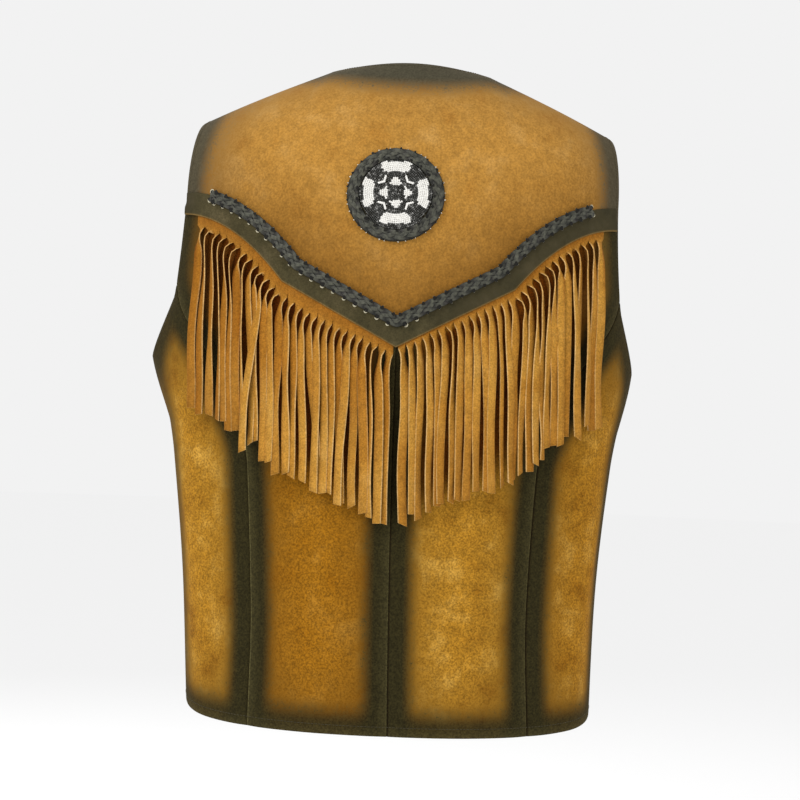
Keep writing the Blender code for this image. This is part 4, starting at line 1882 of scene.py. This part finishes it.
FRINGE_HALVES: dict[Side, FringeHalf] = {
    Side.LEFT: FringeHalf(
        "fringe_left",
        seed=11,
        first=0,
        strip=(
            (0.005, 0.0065), (0.035, 0.0080), (0.060, 0.0105), (0.085, 0.0128), (0.105, 0.0105),
            (0.125, 0.0080), (0.1975, 0.0090),
        ),
        longer=0.005, turn=(10.0, 34.0), stay_turned=0.85, top_tone=0.16, tip_tone=-0.42, far_tone=0.75,
        far_shade=0.15, low_shade=0.0,
    ),
    Side.RIGHT: FringeHalf(
        "fringe_right",
        seed=12,
        first=40,
        strip=(
            (0.005, 0.0016), (0.030, 0.0018), (0.060, 0.0030), (0.090, 0.0038), (0.110, 0.0055),
            (0.160, 0.0050), (0.1975, 0.0070),
        ),
        longer=0.0, turn=(0.0, 24.0), stay_turned=0.65, top_tone=-0.40, tip_tone=0.02, far_tone=0.15,
        far_shade=0.0, low_shade=0.09,
    ),
}


@dataclass
class Fringe:
    """One half of the fringe: a strip of suede slit into strands."""

    bench: Bench
    side: Side
    half: FringeHalf
    flat: tuple[float, float] = (0.235, 0.185)
    strands: int = 28
    strip_above: float = 0.004
    strip_mean: float = 0.0046
    strip_rows: tuple[float, float] = (0.001, -0.0009)
    thick: float = 0.0012
    from_x: float = 0.002
    to_x: float = 0.1975
    slit: float = 0.0009
    length_inner: float = 0.163
    length_outer: float = 0.184
    bend: float = 0.026
    lean: float = 0.75
    stand_off: float = 0.0046
    plumb: float = 0.028
    step: float = 0.001
    layering: float = 0.0028
    parting: float = 0.0021
    waver: float = 0.0008
    cup: float = 0.00035
    slant: float = 0.0020
    runs: tuple[float, ...] = (0.0, 0.003, 0.007, 0.011, 0.015, 0.020, 0.026, 0.033, 0.042, 0.054)
    tail: tuple[float, float, int] = (0.40, 1.0, 12)
    across: tuple[float, ...] = (-1.0, -0.76, 0.0, 0.76, 1.0)
    sewn_tone: tuple[float, ...] = (0.8, 0.8, 0.8, 0.7, 0.6)
    sewn_shadow: tuple[float, ...] = (1.0, 1.0, 0.36, 0.26, 0.14)

    def __post_init__(self) -> None:
        """Numbers the strands, and sets how uneven each is and whether it hangs in front or behind."""
        numbers = np.arange(self.strands) + self.half.first
        self.uneven = np.sin(numbers * 2.4) * 0.6 + np.sin(numbers * 5.1 + 1.0) * 0.4
        self.random = np.random.default_rng(self.half.seed)
        self.layer = 0.45 * (numbers % 2) + 0.55 * self.random.uniform(0.0, 1.0, self.strands)

    def stops(self) -> tuple[Array, float]:
        """Equal steps along the yoke line.

        Returns:
            The x where each strand starts and ends, and the step.
        """
        x = np.linspace(self.from_x, self.to_x, 601)
        run = run_of(np.stack([x, self.bench.line.height(x)], axis=1))
        return np.interp(np.linspace(0.0, run[-1], self.strands + 1), run, x), run[-1] / self.strands

    def strip(self, x: Array) -> Array:
        """Depth of the uncut strip below the yoke line."""
        return np.interp(np.abs(x), *np.array(self.half.strip).T)

    def lengths(self, x: Array) -> Array:
        """Lengths of the strands, which are a little uneven.

        Args:
            x: Where each strand starts.

        Returns:
            Lengths.
        """
        length = lerp(self.length_inner, self.length_outer, np.abs(x) / self.to_x)
        length = length - 1.1 * (self.strip(x) - self.strip_mean)
        length = length * (1.0 + 0.015 * self.uneven + self.random.normal(0.0, 0.014, len(x)))
        return length + self.half.longer * falling(np.abs(x), 0.0, 0.06)

    def fall(self, x: Array, runs: Array) -> tuple[Array, Array, Array]:
        """Lets the strands fall: they bend to the vertical and drape over the back.

        Args:
            x: Where each strand starts.
            runs: Distances down the strands at which they are wanted.

        Returns:
            Middles and leans by distance and strand, and each strand's level direction off the back.
        """
        form = self.bench.form
        bent = self.bench.line.slope(x) * (self.lean * lerp(0.2, 1.0, rising(np.abs(x), 0.0, 0.035)))
        z = self.bench.line.raised(x, -self.strip(x))
        at = form.find(x, z)
        out = unit(form.normal(*at, Face.BACK) * [1.0, 1.0, 0.0])
        least = form.layer_gap + self.thick / 2.0
        strand = np.arange(len(x))[None]
        reach = np.full_like(x, -1.0)
        track = []
        leans = []
        count = int(np.max(runs) / self.step) + 2
        for run in np.arange(count) * self.step:
            lean = bent * falling(run, 0.0, self.bend)
            clear = lerp(least, self.stand_off, rising(run, 0.0, 0.016))
            behind = form.on(*at, 0.0, Face.BACK)[:, 1]
            reach = np.maximum(reach, behind + clear / np.maximum(out[:, 1], 0.5))
            track.append(np.stack([x, reach, z], axis=1))
            leans.append(lean)
            x = x + self.step * np.sin(lean)
            z = z - self.step * np.cos(lean)
            at = form.find(x, z, at)
        place = np.clip(runs / self.step, 0, count - 1.001)
        below = place.astype(int)
        steps = np.array(track)
        middles = lerp(steps[below, strand], steps[below + 1, strand], (place - below)[..., None])
        return middles, np.array(leans)[below, strand], out

    def twists(self, slope: Array, far: Array, runs: Array, wave: Array) -> Array:
        """Turns of the strands: steep where they leave the slanted strip, then settling, with a swing.

        Args:
            slope: Angle of the yoke line at each strand.
            far: Distance of each strand from the middle.
            runs: Distances down the strands.
            wave: Where in its wave each strand starts.

        Returns:
            Turns in radians, by distance and strand.
        """
        draw = self.random.uniform
        count = len(slope)
        needed = np.arccos(np.minimum(0.95, np.cos(slope) * 0.93))
        settled = 0.40 * needed + np.radians(draw(-18.0, 24.0, count))
        steep = np.radians(draw(*self.half.turn, count))
        stays = draw(0.0, 1.0, count) < lerp(0.10, self.half.stay_turned, rising(far, 0.12, 0.05))
        hold = np.where(stays, draw(0.060, 0.150, count), draw(0.008, 0.026, count))
        steep = steep + np.radians(26.0) * stays
        settled = settled + np.radians(draw(8.0, 30.0, count)) * stays
        twist = -lerp(needed + steep, settled, rising(runs, 0.012, hold)) * rising(runs, 0.0, 0.006)
        swing = np.radians(draw(3.0, 18.0, count)) * np.sin(runs * draw(16.0, 60.0, count) + wave)
        return twist + swing * rising(runs, 0.03, 0.05)

    def hang(self, x: Array, half_width: float, shares: Array) -> tuple[Array, Array, Array]:
        """Lines of the strands, with their turns, drifts and widths.

        Args:
            x: Where each strand starts.
            half_width: Half of a strand's width.
            shares: Shares of each strand's length at which it is wanted.

        Returns:
            Middles, half-widths and face directions, by share and strand.
        """
        side = self.side.value
        draw = self.random.uniform
        count = len(x)
        runs = shares[:, None] * self.lengths(x)[None]
        middles, lean, out = self.fall(x, runs)
        far = np.abs(middles[0, :, 0])
        wave = draw(0.0, TAU, count)
        twist = self.twists(self.bench.line.slope(x), far, runs, wave)
        twist = twist + 0.8 * np.arctan2(out[:, 0] * side, out[:, 1]) * rising(runs, 0.0, 0.03)
        drift = self.random.normal(0.0, 0.0018, count) * np.where(draw(0.0, 1.0, count) < 0.10, 2.6, 1.0)
        drift = drift * lerp(0.2, 1.0, rising(far, 0.008, 0.020))
        middles[..., 0] += drift * rising(runs, 0.015, 0.12) - self.plumb * runs * rising(runs, 0.0, 0.05)
        waver = self.waver * np.sin(runs * draw(20.0, 56.0, count) + 1.7 * wave)
        middles[..., 0] += waver * rising(runs, 0.02, 0.05)
        middles[..., 0] += side * (self.parting * falling(far, 0.006, 0.012)) * rising(runs, 0.0, 0.03)
        middles[..., 1] += self.layering * self.layer * rising(runs, 0.010, 0.040)
        narrow = np.where(draw(0.0, 1.0, count) < 0.09, 0.5, draw(0.94, 1.17, count))
        half_width = (half_width * lerp(1.0, narrow, rising(runs, 0.006, 0.030)))[..., None]
        lean = lean[..., None]
        level = np.stack([out[:, 1], -out[:, 0], np.zeros(count)], axis=1)
        down = level * np.sin(lean) - UP * np.cos(lean)
        flat = level * np.cos(lean) + UP * np.sin(lean)
        wide = flat * np.cos(twist)[..., None] + out * (np.sin(twist) * side)[..., None]
        return middles, unit(wide) * half_width, unit(np.cross(wide, down))

    def build(self) -> Piece:
        """Builds the strip and its strands.

        Returns:
            The finished piece.
        """
        side = self.side.value
        across = np.array(self.across)
        width = len(across)
        edges, pitch = self.stops()
        shares = np.concatenate([np.array(self.runs) / self.length_inner, np.linspace(*self.tail)])
        starts = side * (edges[:-1] + edges[1:]) / 2.0
        middle, wide, normal = self.hang(starts, (pitch - self.slit) / 2.0, shares)
        slit_share = self.slit / pitch / 2.0
        low = lerp(edges[:-1], edges[1:], slit_share)
        high = lerp(edges[:-1], edges[1:], 1.0 - slit_share)
        xs = side * lerp(low[:, None], high[:, None], (across + 1.0) / 2.0).ravel()
        deep = self.strip(xs)
        even = np.ones_like(xs)
        upper = [rise * even for rise in (self.strip_above, *self.strip_rows)]
        rises = np.stack([*upper, -lerp(-self.strip_rows[-1], deep, 0.75), -deep])
        columns = np.broadcast_to(xs, rises.shape)
        gap = self.bench.form.layer_gap
        strip_out = self.bench.line.on(columns, rises, gap + self.thick)
        strip_in = self.bench.line.on(columns, rises, gap)
        cup = self.cup * (1.0 - across * across)
        hung = middle[1:, :, None] + wide[1:, :, None] * (across * side)[:, None]
        lift = normal[1:, :, None] * (self.thick / 2.0 + cup)[:, None]
        drop = normal[1:, :, None] * (cup - self.thick / 2.0)[:, None]
        slant = self.random.uniform(-self.slant, self.slant, self.strands)
        hung[-1, :, :, 2] += slant[:, None] * across
        shape = (len(shares) - 1, len(xs), 3)
        outer = np.concatenate([strip_out, (hung + lift).reshape(shape)])
        inner = np.concatenate([strip_in, (hung + drop).reshape(shape)])
        keep = np.ones((len(outer) - 1, len(xs) - 1), bool)
        for strand in range(1, self.strands):
            keep[self.random.integers(3, 6) :, width * strand - 1] = False
        depth = np.concatenate([np.zeros(len(rises)), shares[1:] * self.length_inner])
        mesh = shell(self.half.name, outer, inner, self.colours(edges[1:], depth), keep)
        return self.bench.enter(self.half.name + "_look", mesh, FRINGE_SUEDE, self.half.name)

    def colours(self, far: Array, depth: Array) -> SkinValues:
        """Tones, shades, pale cut edges with painted highlights, and painted shade and shadows of the
        strands.

        Args:
            far: Distance of each strand's outer edge from the middle.
            depth: Distance of each row of points below the strip.

        Returns:
            Values on the outer skin, the inner skin and the rim.
        """
        half = self.half
        width = len(self.across)
        sewn_rows = len(self.sewn_tone)
        outer_half = rising(far, 0.13, 0.04)
        lower_half = rising(depth, 0.06, 0.06)
        # Strands that hang behind are darker, as painted shade; the outer strands darken by each half's own
        # amount.
        tone = 0.6 * (1.0 - self.layer) + 0.35 * self.random.uniform(0.0, 1.0, self.strands)
        tone = np.repeat(tone + half.far_tone * outer_half, width)
        tone = tone + lerp(half.top_tone, half.tip_tone, lower_half)[:, None]
        sewn = np.concatenate([self.sewn_tone, np.full(len(depth) - sewn_rows, 0.5)])
        tone = lerp(sewn[:, None], np.clip(tone, 0.0, 1.0), rising(depth, 0.0, 0.02)[:, None])
        none = np.zeros_like(tone)
        # Painted shade on the outer strands, and a darkening toward the tips, by each half's own amounts.
        shade = np.repeat(half.far_shade * outer_half, width) + half.low_shade * lower_half[:, None]
        outward = np.tile(self.across, self.strands)
        # The forward cut edge is pale: the cut leather's own colour, with a painted highlight.
        pale = np.repeat(self.random.uniform(0.35, 1.0, self.strands), width) * (0.55 - 0.45 * outward)
        worn = np.where(np.abs(outward) > 0.95, pale, 0.0) * rising(depth, 0.0, 0.004)[:, None]
        cut = np.broadcast_to(rising(depth, 0.0, 0.002)[:, None], tone.shape)
        # Painted shade on each strand's turned-away side, strongest near the strip.
        dark = lerp(0.80, 0.25, rising(depth, 0.012, 0.04)) * rising(depth, 0.0, 0.008)
        under = ease(outward) * dark[:, None]
        # A painted shadow under the band's edge, fading down the uncut strip.
        under[:sewn_rows] = np.array(self.sewn_shadow)[:, None]
        # The backs and rims of the strands get painted shade as well.
        return {
            "shade": (shade, none, none),
            "worn": (worn, none, cut),
            "tone": (tone, tone, tone * 0.3),
            "inside": (none, none + 0.5, none),
            "hidden": (under, none + 0.5, under * 0.5),
        }


@dataclass
class Rosette:
    """Leather backing, laced rim and a bead field with bars, triangles and chevrons in four directions."""

    bench: Bench
    x: float = 0.0058
    z: float = -0.1035
    squash: float = 0.957
    hole: float = 0.0004
    radius: float = 0.0465
    backing: float = 0.0014
    rim_inner: float = 0.0345
    rim_outer: float = 0.0462
    rim_foot: float = 0.0006
    rim_dome: float = 0.00144
    rim_links: int = 21
    plait: Plait = Plait(sway=0.0033, half_width=0.0024)
    plait_lift: float = 0.0021
    rim_hole: float = 0.0016
    nubs: int = 31
    nub_out: float = 0.0003
    nub_lift: float = 0.0002
    field: float = 0.0353
    dome: float = 0.0008
    bead: float = 0.00103
    bead_lift: float = 0.0009
    bead_rows: int = 19
    first_ring: float = 0.0009
    row_step: float = 0.00193
    bead_step: float = 0.00172
    row_turn: float = 0.37
    turn: float = -1.5
    chart_up: float = 0.0021
    bar_from: float = 0.0212
    bar_to: float = 0.0312
    bar_half: float = 0.0112
    bar_flare: float = 0.42
    bar_squareness: float = 0.55
    triangle_from: float = 0.0080
    triangle_tip: float = 0.0168
    triangle_slope: float = 0.70
    triangle_least: float = 0.0004
    corner: float = 0.0156
    arm: float = 0.0056
    splay: float = 16.0
    chevron_bead: float = 1.28
    white_bead: float = 0.10
    hole_seed: int = 6
    nub_seed: int = 8
    bead_seed: int = 9
    glint_seed: int = 21

    def on(self, radius: Array, angle: Array, lift: Numbers) -> Pair:
        """Points over the yoke round the rosette's middle, and directions off the yoke."""
        x = self.x + radius * np.cos(angle)
        return self.bench.form.back(x, self.z + self.squash * radius * np.sin(angle), lift)

    def ring(self, name: str, inner: float, outer: float, low: float, top: Callable[[Array], Array]) -> Mesh:
        """A flat or domed ring.

        Args:
            name: Name of the mesh.
            inner: Inner radius.
            outer: Outer radius.
            low: Height of its underside.
            top: Height of its upper side from the radius.

        Returns:
            The mesh.
        """
        angle = np.linspace(0.0, TAU, 120, endpoint=False)
        angles, radii = np.meshgrid(angle, np.linspace(inner, outer, 9))
        above, _ = self.on(radii, angles, top(radii))
        below, _ = self.on(radii, angles, low)
        return shell(name, above, below, {}, wrap=True)

    def is_white(self, radius: Array, angle: Array) -> Array:
        """The bead chart: bars and triangles in four directions.

        Args:
            radius: Distances from the middle.
            angle: Angles round it.

        Returns:
            1 where a bead is white.
        """
        quarter = np.pi / 2.0
        turned = angle - math.radians(self.turn)
        from_axis = np.abs((turned + quarter / 2.0) % quarter - quarter / 2.0)
        along = radius * np.cos(from_axis)
        aside = radius * np.sin(from_axis)
        reach = lerp(radius, along, self.bar_squareness)
        bar_half = self.bar_half + self.bar_flare * (reach - self.bar_from)
        bar = (reach > self.bar_from) & (reach < self.bar_to) & (aside < bar_half)
        triangle_half = self.triangle_slope * (self.triangle_tip - along) + self.triangle_least
        triangle = (along > self.triangle_from) & (aside < triangle_half)
        return (bar | triangle).astype(float)

    def chevrons(self) -> Array:
        """The beads of the chevrons between the bars, which are laid as lines of their own.

        Returns:
            Their places across and up from the chart's middle.
        """
        step = np.arange(round(self.arm / self.bead_step) + 1) * self.bead_step
        beads = []
        for quarter in range(4):
            middle = math.radians(45.0 + 90.0 * quarter + self.turn)
            corner = self.corner * np.array([math.cos(middle), math.sin(middle)])
            for way, run in ((-1.0, step[1:]), (1.0, step)):
                lean = middle + way * math.radians(45.0 + self.splay)
                beads.append(corner + run[:, None] * np.array([math.cos(lean), math.sin(lean)]))
        return np.concatenate(beads)

    def bead_mesh(self) -> Mesh:
        """One seed bead, its hole along X.

        Returns:
            The mesh.
        """
        turn = np.linspace(0.0, np.pi, 7)
        half = np.maximum(np.sin(turn) ** 0.8, 0.18) * self.bead
        return mesh_of("seed_bead", flat_sweep((-0.82 * np.cos(turn) * self.bead, 0.0, 0.0), half, half, 8))

    def nub_mesh(self) -> Mesh:
        """The pale end of a stitch at the rim's outer edge.

        Returns:
            The mesh.
        """
        half = np.array([0.0003, 0.0006, 0.0007, 0.0006, 0.0003])
        surface = flat_sweep((np.linspace(-0.0010, 0.0010, len(half)), 0.0, 0.0), half, half, 6)
        return mesh_of("rim_nub", surface, {"white": np.full(len(surface[0]), 0.8)})

    def build(self) -> list[Piece]:
        """Builds the rosette.

        Returns:
            The finished pieces.
        """
        bench = self.bench
        gap = bench.form.layer_gap
        seat = gap + self.backing
        low = seat + gap
        middle = (self.rim_inner + self.rim_outer) / 2.0
        half = (self.rim_outer - self.rim_inner) / 2.0
        whole = self.rim_links * self.plait.pitch

        def rim_top(radius: Array) -> Array:
            """Height of the rim's dome off the yoke."""
            share = np.clip((radius - middle) / half, -1.0, 1.0)
            return low + self.rim_foot + self.rim_dome * np.sqrt(1.0 - share**4)

        def on_rim(along: Array, aside: Array, lift: Array) -> Pair:
            """Points by the rim's plait, from places along it, to its side and off it."""
            return self.on(middle - aside, TAU * along / whole, low + self.plait_lift + lift)

        backing = self.ring("rosette_backing", self.hole, self.radius, gap, lambda r: np.full_like(r, seat))
        rim = self.ring("rosette_rim", self.rim_inner, self.rim_outer, low, rim_top)
        plait = self.plait.mesh("rim_plait", self.rim_links, on_rim)
        pieces = [
            bench.enter("rosette_backing_look", backing, DARK_SUEDE, "rosette_backing"),
            bench.enter("rosette_rim_look", rim, LACING_LEATHER, "rosette_rim"),
            bench.enter("rim_plait", plait, LACING_LEATHER),
        ]
        angle = TAU * (np.arange(self.rim_links) + 0.5) / self.rim_links
        # Name, radius, height off the ground and way round.
        rows = (("rim_holes_inner", 0.0364, 0.0036, -1.0), ("rim_holes_outer", 0.0454, 0.0026, 1.0))
        for name, radius, lift, way in rows:
            placed = self.on(radius, angle, low + lift)
            ahead, _ = self.on(radius, angle + way * 0.01, low + lift)
            ways = unit(ahead - placed[0])
            hole = LacingHole(self.rim_hole)
            pieces.append(hole.row(bench, name, self.hole_seed, placed, ways, LACING_LEATHER))
        pieces.append(self.nub_row(seat))
        pieces.append(self.bead_field(low))
        return pieces

    def nub_row(self, seat: float) -> Piece:
        """Sets the stitch ends round the rim, at uneven steps.

        Args:
            seat: Height of the backing's face off the yoke.

        Returns:
            The finished piece.
        """
        number = np.arange(self.nubs)
        angle = TAU * (number + 0.25 * np.sin(number * 2.7)) / self.nubs
        points, off = self.on(self.rim_outer + self.nub_out, angle, seat + self.nub_lift)
        outward = unit(points - np.mean(points, axis=0))
        maker = RowOfParts(self.bench, "rim_nubs", self.nub_mesh(), THREAD, self.nub_seed, 0.3, 0.5)
        return self.bench.enter("rim_nubs", maker.mesh(points, outward, off), THREAD, slot=LACING_LEATHER)

    def bead_field(self, low: float) -> Piece:
        """Lays the beads in rings, and the chevrons as lines among them.

        Args:
            low: Height of the field's ground off the yoke.

        Returns:
            The finished piece.
        """
        radii = []
        angles = []
        for row in range(self.bead_rows):
            radius = row * self.row_step + self.first_ring
            count = max(3, round(TAU * radius / self.bead_step))
            angles.append(TAU * np.arange(count) / count + self.row_turn * row)
            radii.append(np.full(count, radius))
        radius = np.concatenate(radii)
        angle = np.concatenate(angles)
        lines = self.chevrons()
        places = np.stack([radius * np.cos(angle), radius * np.sin(angle)], axis=1)
        near = np.min(np.linalg.norm(places[:, None] - lines, axis=2), axis=1)
        whole = np.hypot(places[:, 0], places[:, 1] + self.chart_up)
        kept = (near > 1.5 * self.bead) & (whole < self.field - self.bead)
        # Painted glints: a few dark beads are made lighter at random, standing for highlights.
        glints = 0.30 * np.random.default_rng(self.glint_seed).uniform(0.0, 1.0, len(radius)) ** 5
        rings_white = np.maximum(self.is_white(radius, angle), glints)[kept]
        white = np.concatenate([rings_white, np.ones(len(lines))])
        size = np.concatenate([1.0 + self.white_bead * rings_white, np.full(len(lines), self.chevron_bead)])
        places = np.concatenate([places[kept], lines]) + [0.0, self.chart_up]
        radius = np.hypot(places[:, 0], places[:, 1])
        angle = np.arctan2(places[:, 1], places[:, 0])
        lift = low + self.bead_lift + self.dome * (1.0 - (radius / self.field) ** 2)
        points, off = self.on(radius, angle, lift)
        ahead, _ = self.on(radius, angle + 0.02, lift)
        name = "rosette_beads_look"
        maker = RowOfParts(self.bench, name, self.bead_mesh(), BEAD_GLASS, self.bead_seed, 0.06, 0.10)
        mesh = maker.mesh(points, unit(ahead - points), off, {"white": white, "size": size})
        return self.bench.enter(name, mesh, BEAD_GLASS, "rosette_beads")


@dataclass
class Stitching:
    """Rows of thread round the turned edges."""

    bench: Bench
    pitch: float = 0.0034
    hem_in: float = 0.0088
    edge_in: float = 0.0062
    neck_in: float = 0.0065
    neck_end: float = 0.372
    widest: float = 0.999
    front_start: float = 0.012
    seed: int = 13

    def stitch(self) -> Mesh:
        """One stitch, its ends sunk in the suede.

        Returns:
            The mesh.
        """
        share = np.linspace(-1.0, 1.0, 6)
        line = (0.00125 * share, 0.0, 0.00012 - 0.00030 * share**4)
        return mesh_of("stitch", flat_sweep(line, 0.00027, 0.00024, 6))

    def lines(self) -> list[tuple[Array, Array, Face]]:
        """The s and t of each row of stitches.

        Returns:
            Rows, with the face that they lie on.
        """
        form = self.bench.form
        hem_t = self.hem_in / form.top
        back = np.linspace(-self.widest, self.widest, 400)
        front = np.linspace(self.front_start, self.widest, 220)
        neck = np.linspace(-self.neck_end, self.neck_end, 160)
        step = 0.02
        top = form.place(neck, np.full_like(neck, 2.0), Face.BACK)
        below = form.place(neck, np.full_like(neck, 2.0 - step), Face.BACK)
        neck_t = 2.0 - self.neck_in * step / np.linalg.norm(top - below, axis=-1)
        rows = [(back, np.full_like(back, hem_t), Face.BACK), (neck, neck_t, Face.BACK)]
        arm_t = np.linspace(form.underarm / form.top + 0.004, 1.99, 260)
        # The row by the opening goes straight past the corner of the neck, where its edge has a kink.
        front_t = np.concatenate([np.linspace(self.front_start, 1.65, 340), np.linspace(1.88, 1.985, 22)])
        for side in Side:
            for face in Face:
                edge = form.inset(np.ones_like(arm_t), arm_t, self.edge_in, face)
                rows.append((side.value * edge, arm_t, face))
            opening = form.inset(form.opening(front_t), front_t, -self.edge_in, Face.FRONT)
            rows.append((side.value * opening, front_t, Face.FRONT))
            rows.append((side.value * front, np.full_like(front, hem_t), Face.FRONT))
        return rows

    def build(self) -> Piece:
        """Builds all rows.

        Returns:
            The finished piece.
        """
        form = self.bench.form
        points = []
        along = []
        off = []
        for s, t, face in self.lines():
            run = run_of(form.on(s, t, 0.0, face))
            want = np.arange(self.pitch / 2.0, run[-1], self.pitch)
            s_at = np.interp(want, run, s)
            t_at = np.interp(want, run, t)
            row = form.on(s_at, t_at, 0.0, face)
            points.append(row)
            along.append(unit(np.gradient(row, axis=0)))
            off.append(form.normal(s_at, t_at, face))
        name = "edge_stitches"
        maker = RowOfParts(self.bench, name, self.stitch(), THREAD, self.seed)
        mesh = maker.mesh(np.concatenate(points), np.concatenate(along), np.concatenate(off))
        return self.bench.enter(name, mesh, THREAD, slot=DARK_SUEDE)


@dataclass(frozen=True)
class PaperFinish:
    """The studio's matt white paper."""

    name: str = "studio_paper"
    white: float = 0.985

    def build(self) -> bpy.types.Material:
        """Builds the material.

        Returns:
            The material.
        """
        made = bpy.data.materials.new(self.name)
        made.use_nodes = True
        colour = (self.white, self.white, self.white, 1.0)
        settings = {"Base Color": colour, "Roughness": 1.0, "Specular IOR Level": 0.0}
        Graph(made.node_tree).feed(made.node_tree.nodes["Principled BSDF"], settings)
        return made


@dataclass(frozen=True)
class Lamp:
    """A soft round light: its name, where it is, its size and its power."""

    name: str
    place: tuple[float, float, float]
    size: float
    power: float

    def build(self, target: tuple[float, float, float]) -> Piece:
        """Builds the light.

        Args:
            target: The point that it shines at.

        Returns:
            The light.
        """
        data = bpy.data.lights.new(self.name, "AREA")
        data.shape = "DISK"
        data.size = self.size
        data.energy = self.power
        light = bpy.data.objects.new(self.name, data)
        back = unit(np.array(self.place) - np.array(target))
        right = unit(np.cross(UP, back))
        turn = Matrix((right, np.cross(back, right), back)).transposed()
        light.matrix_world = Matrix.Translation(self.place) @ turn.to_4x4()
        return light


@dataclass(frozen=True)
class Studio:
    """Floor, lights and the camera, which stands where the photo's did."""

    centre: tuple[float, float, float] = (0.0, 0.0, -0.29)
    floor_z: float = -1.05
    radius: float = 14.0
    floor_sides: int = 96
    pale: float = 0.888
    camera: tuple[float, float, float] = (-0.006, 2.3, -0.298)
    lens: float = 102.78
    sensor: float = 36.0
    roll: float = 0.04
    paper: PaperFinish = PaperFinish()
    lamps: tuple[Lamp, ...] = (
        Lamp("key", (1.6, 2.0, 1.4), 1.2, 22.0),
        Lamp("far", (0.9, -2.2, 1.2), 1.6, 14.0),
    )

    def build_floor(self) -> Piece:
        """A pale round floor.

        Returns:
            The floor.
        """
        angle = TAU * np.arange(self.floor_sides) / self.floor_sides
        ring = self.radius * np.stack([np.cos(angle), np.sin(angle), np.zeros_like(angle)], axis=1)
        surface = fan(ring + self.floor_z * UP, self.floor_z * UP)
        floor = bpy.data.objects.new("studio_floor", mesh_of("studio_floor", surface))
        floor.data.materials.append(self.paper.build())
        bpy.context.scene.collection.objects.link(floor)
        return floor

    def build_camera(self) -> Piece:
        """The photo's camera, behind the wearer, level but for its roll.

        Returns:
            The camera.
        """
        data = bpy.data.cameras.new("photo_camera")
        data.lens = self.lens
        data.sensor_width = self.sensor
        camera = bpy.data.objects.new("photo_camera", data)
        c = math.cos(self.roll)
        s = math.sin(self.roll)
        turn = Matrix(((-c, s, 0.0), (0.0, 0.0, 1.0), (s, c, 0.0)))
        camera.matrix_world = Matrix.Translation(self.camera) @ turn.to_4x4()
        return camera

    def build(self) -> Piece:
        """Builds the floor, the lights and the camera.

        Returns:
            The floor.
        """
        scene = bpy.context.scene
        floor = self.build_floor()
        world = bpy.data.worlds.new("studio_world")
        world.use_nodes = True
        colour = (self.pale, self.pale, self.pale, 1.0)
        world.node_tree.nodes["Background"].inputs["Color"].default_value = colour
        scene.world = world
        scene.view_settings.view_transform = "Standard"
        for lamp in self.lamps:
            scene.collection.objects.link(lamp.build(self.centre))
        scene.camera = self.build_camera()
        scene.collection.objects.link(scene.camera)
        return floor


PANELS: tuple[tuple[type[Panel], PanelCut], ...] = (
    (Yoke, PanelCut("back_yoke", YOKE_SUEDE, 0.0, ())),
    (CentrePanel, PanelCut("back_centre_left", BODY_SUEDE, 0.70, ("back_yoke",), Side.LEFT)),
    (SidePanel, PanelCut("back_side_left", BODY_SUEDE, 0.0, ("back_centre_left",), Side.LEFT)),
    (Front, PanelCut("front_left", BODY_SUEDE, 0.1, ("back_yoke",), Side.LEFT)),
    (CentrePanel, PanelCut("back_centre_right", BODY_SUEDE, 0.0, ("back_yoke",), Side.RIGHT)),
    (SidePanel, PanelCut("back_side_right", BODY_SUEDE, 0.25, ("back_centre_right",), Side.RIGHT)),
    (Front, PanelCut("front_right", BODY_SUEDE, 0.1, ("back_yoke",), Side.RIGHT)),
)


def main() -> None:
    """Builds the vest's looks over the frame."""
    logging.basicConfig(level=logging.INFO, format="%(message)s")
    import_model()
    bench = Bench()
    pieces = []
    for kind, cut in PANELS:
        panel = kind(bench, cut)
        pieces.append(panel.build())
        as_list(cut.rests_on)
    band = Band(bench)
    pieces.append(band.build())
    pieces += Lacing(bench, band).build()
    for side, half in FRINGE_HALVES.items():
        fringe = Fringe(bench, side, half)
        pieces.append(fringe.build())
    pieces += Rosette(bench).build()
    pieces.append(Stitching(bench).build())
    pieces.append(Studio().build())
    for piece in pieces:
        piece.data.calc_loop_triangles()
        LOG.info("%s: %d triangles", piece.name, len(piece.data.loop_triangles))


if __name__ == "__main__":
    main()
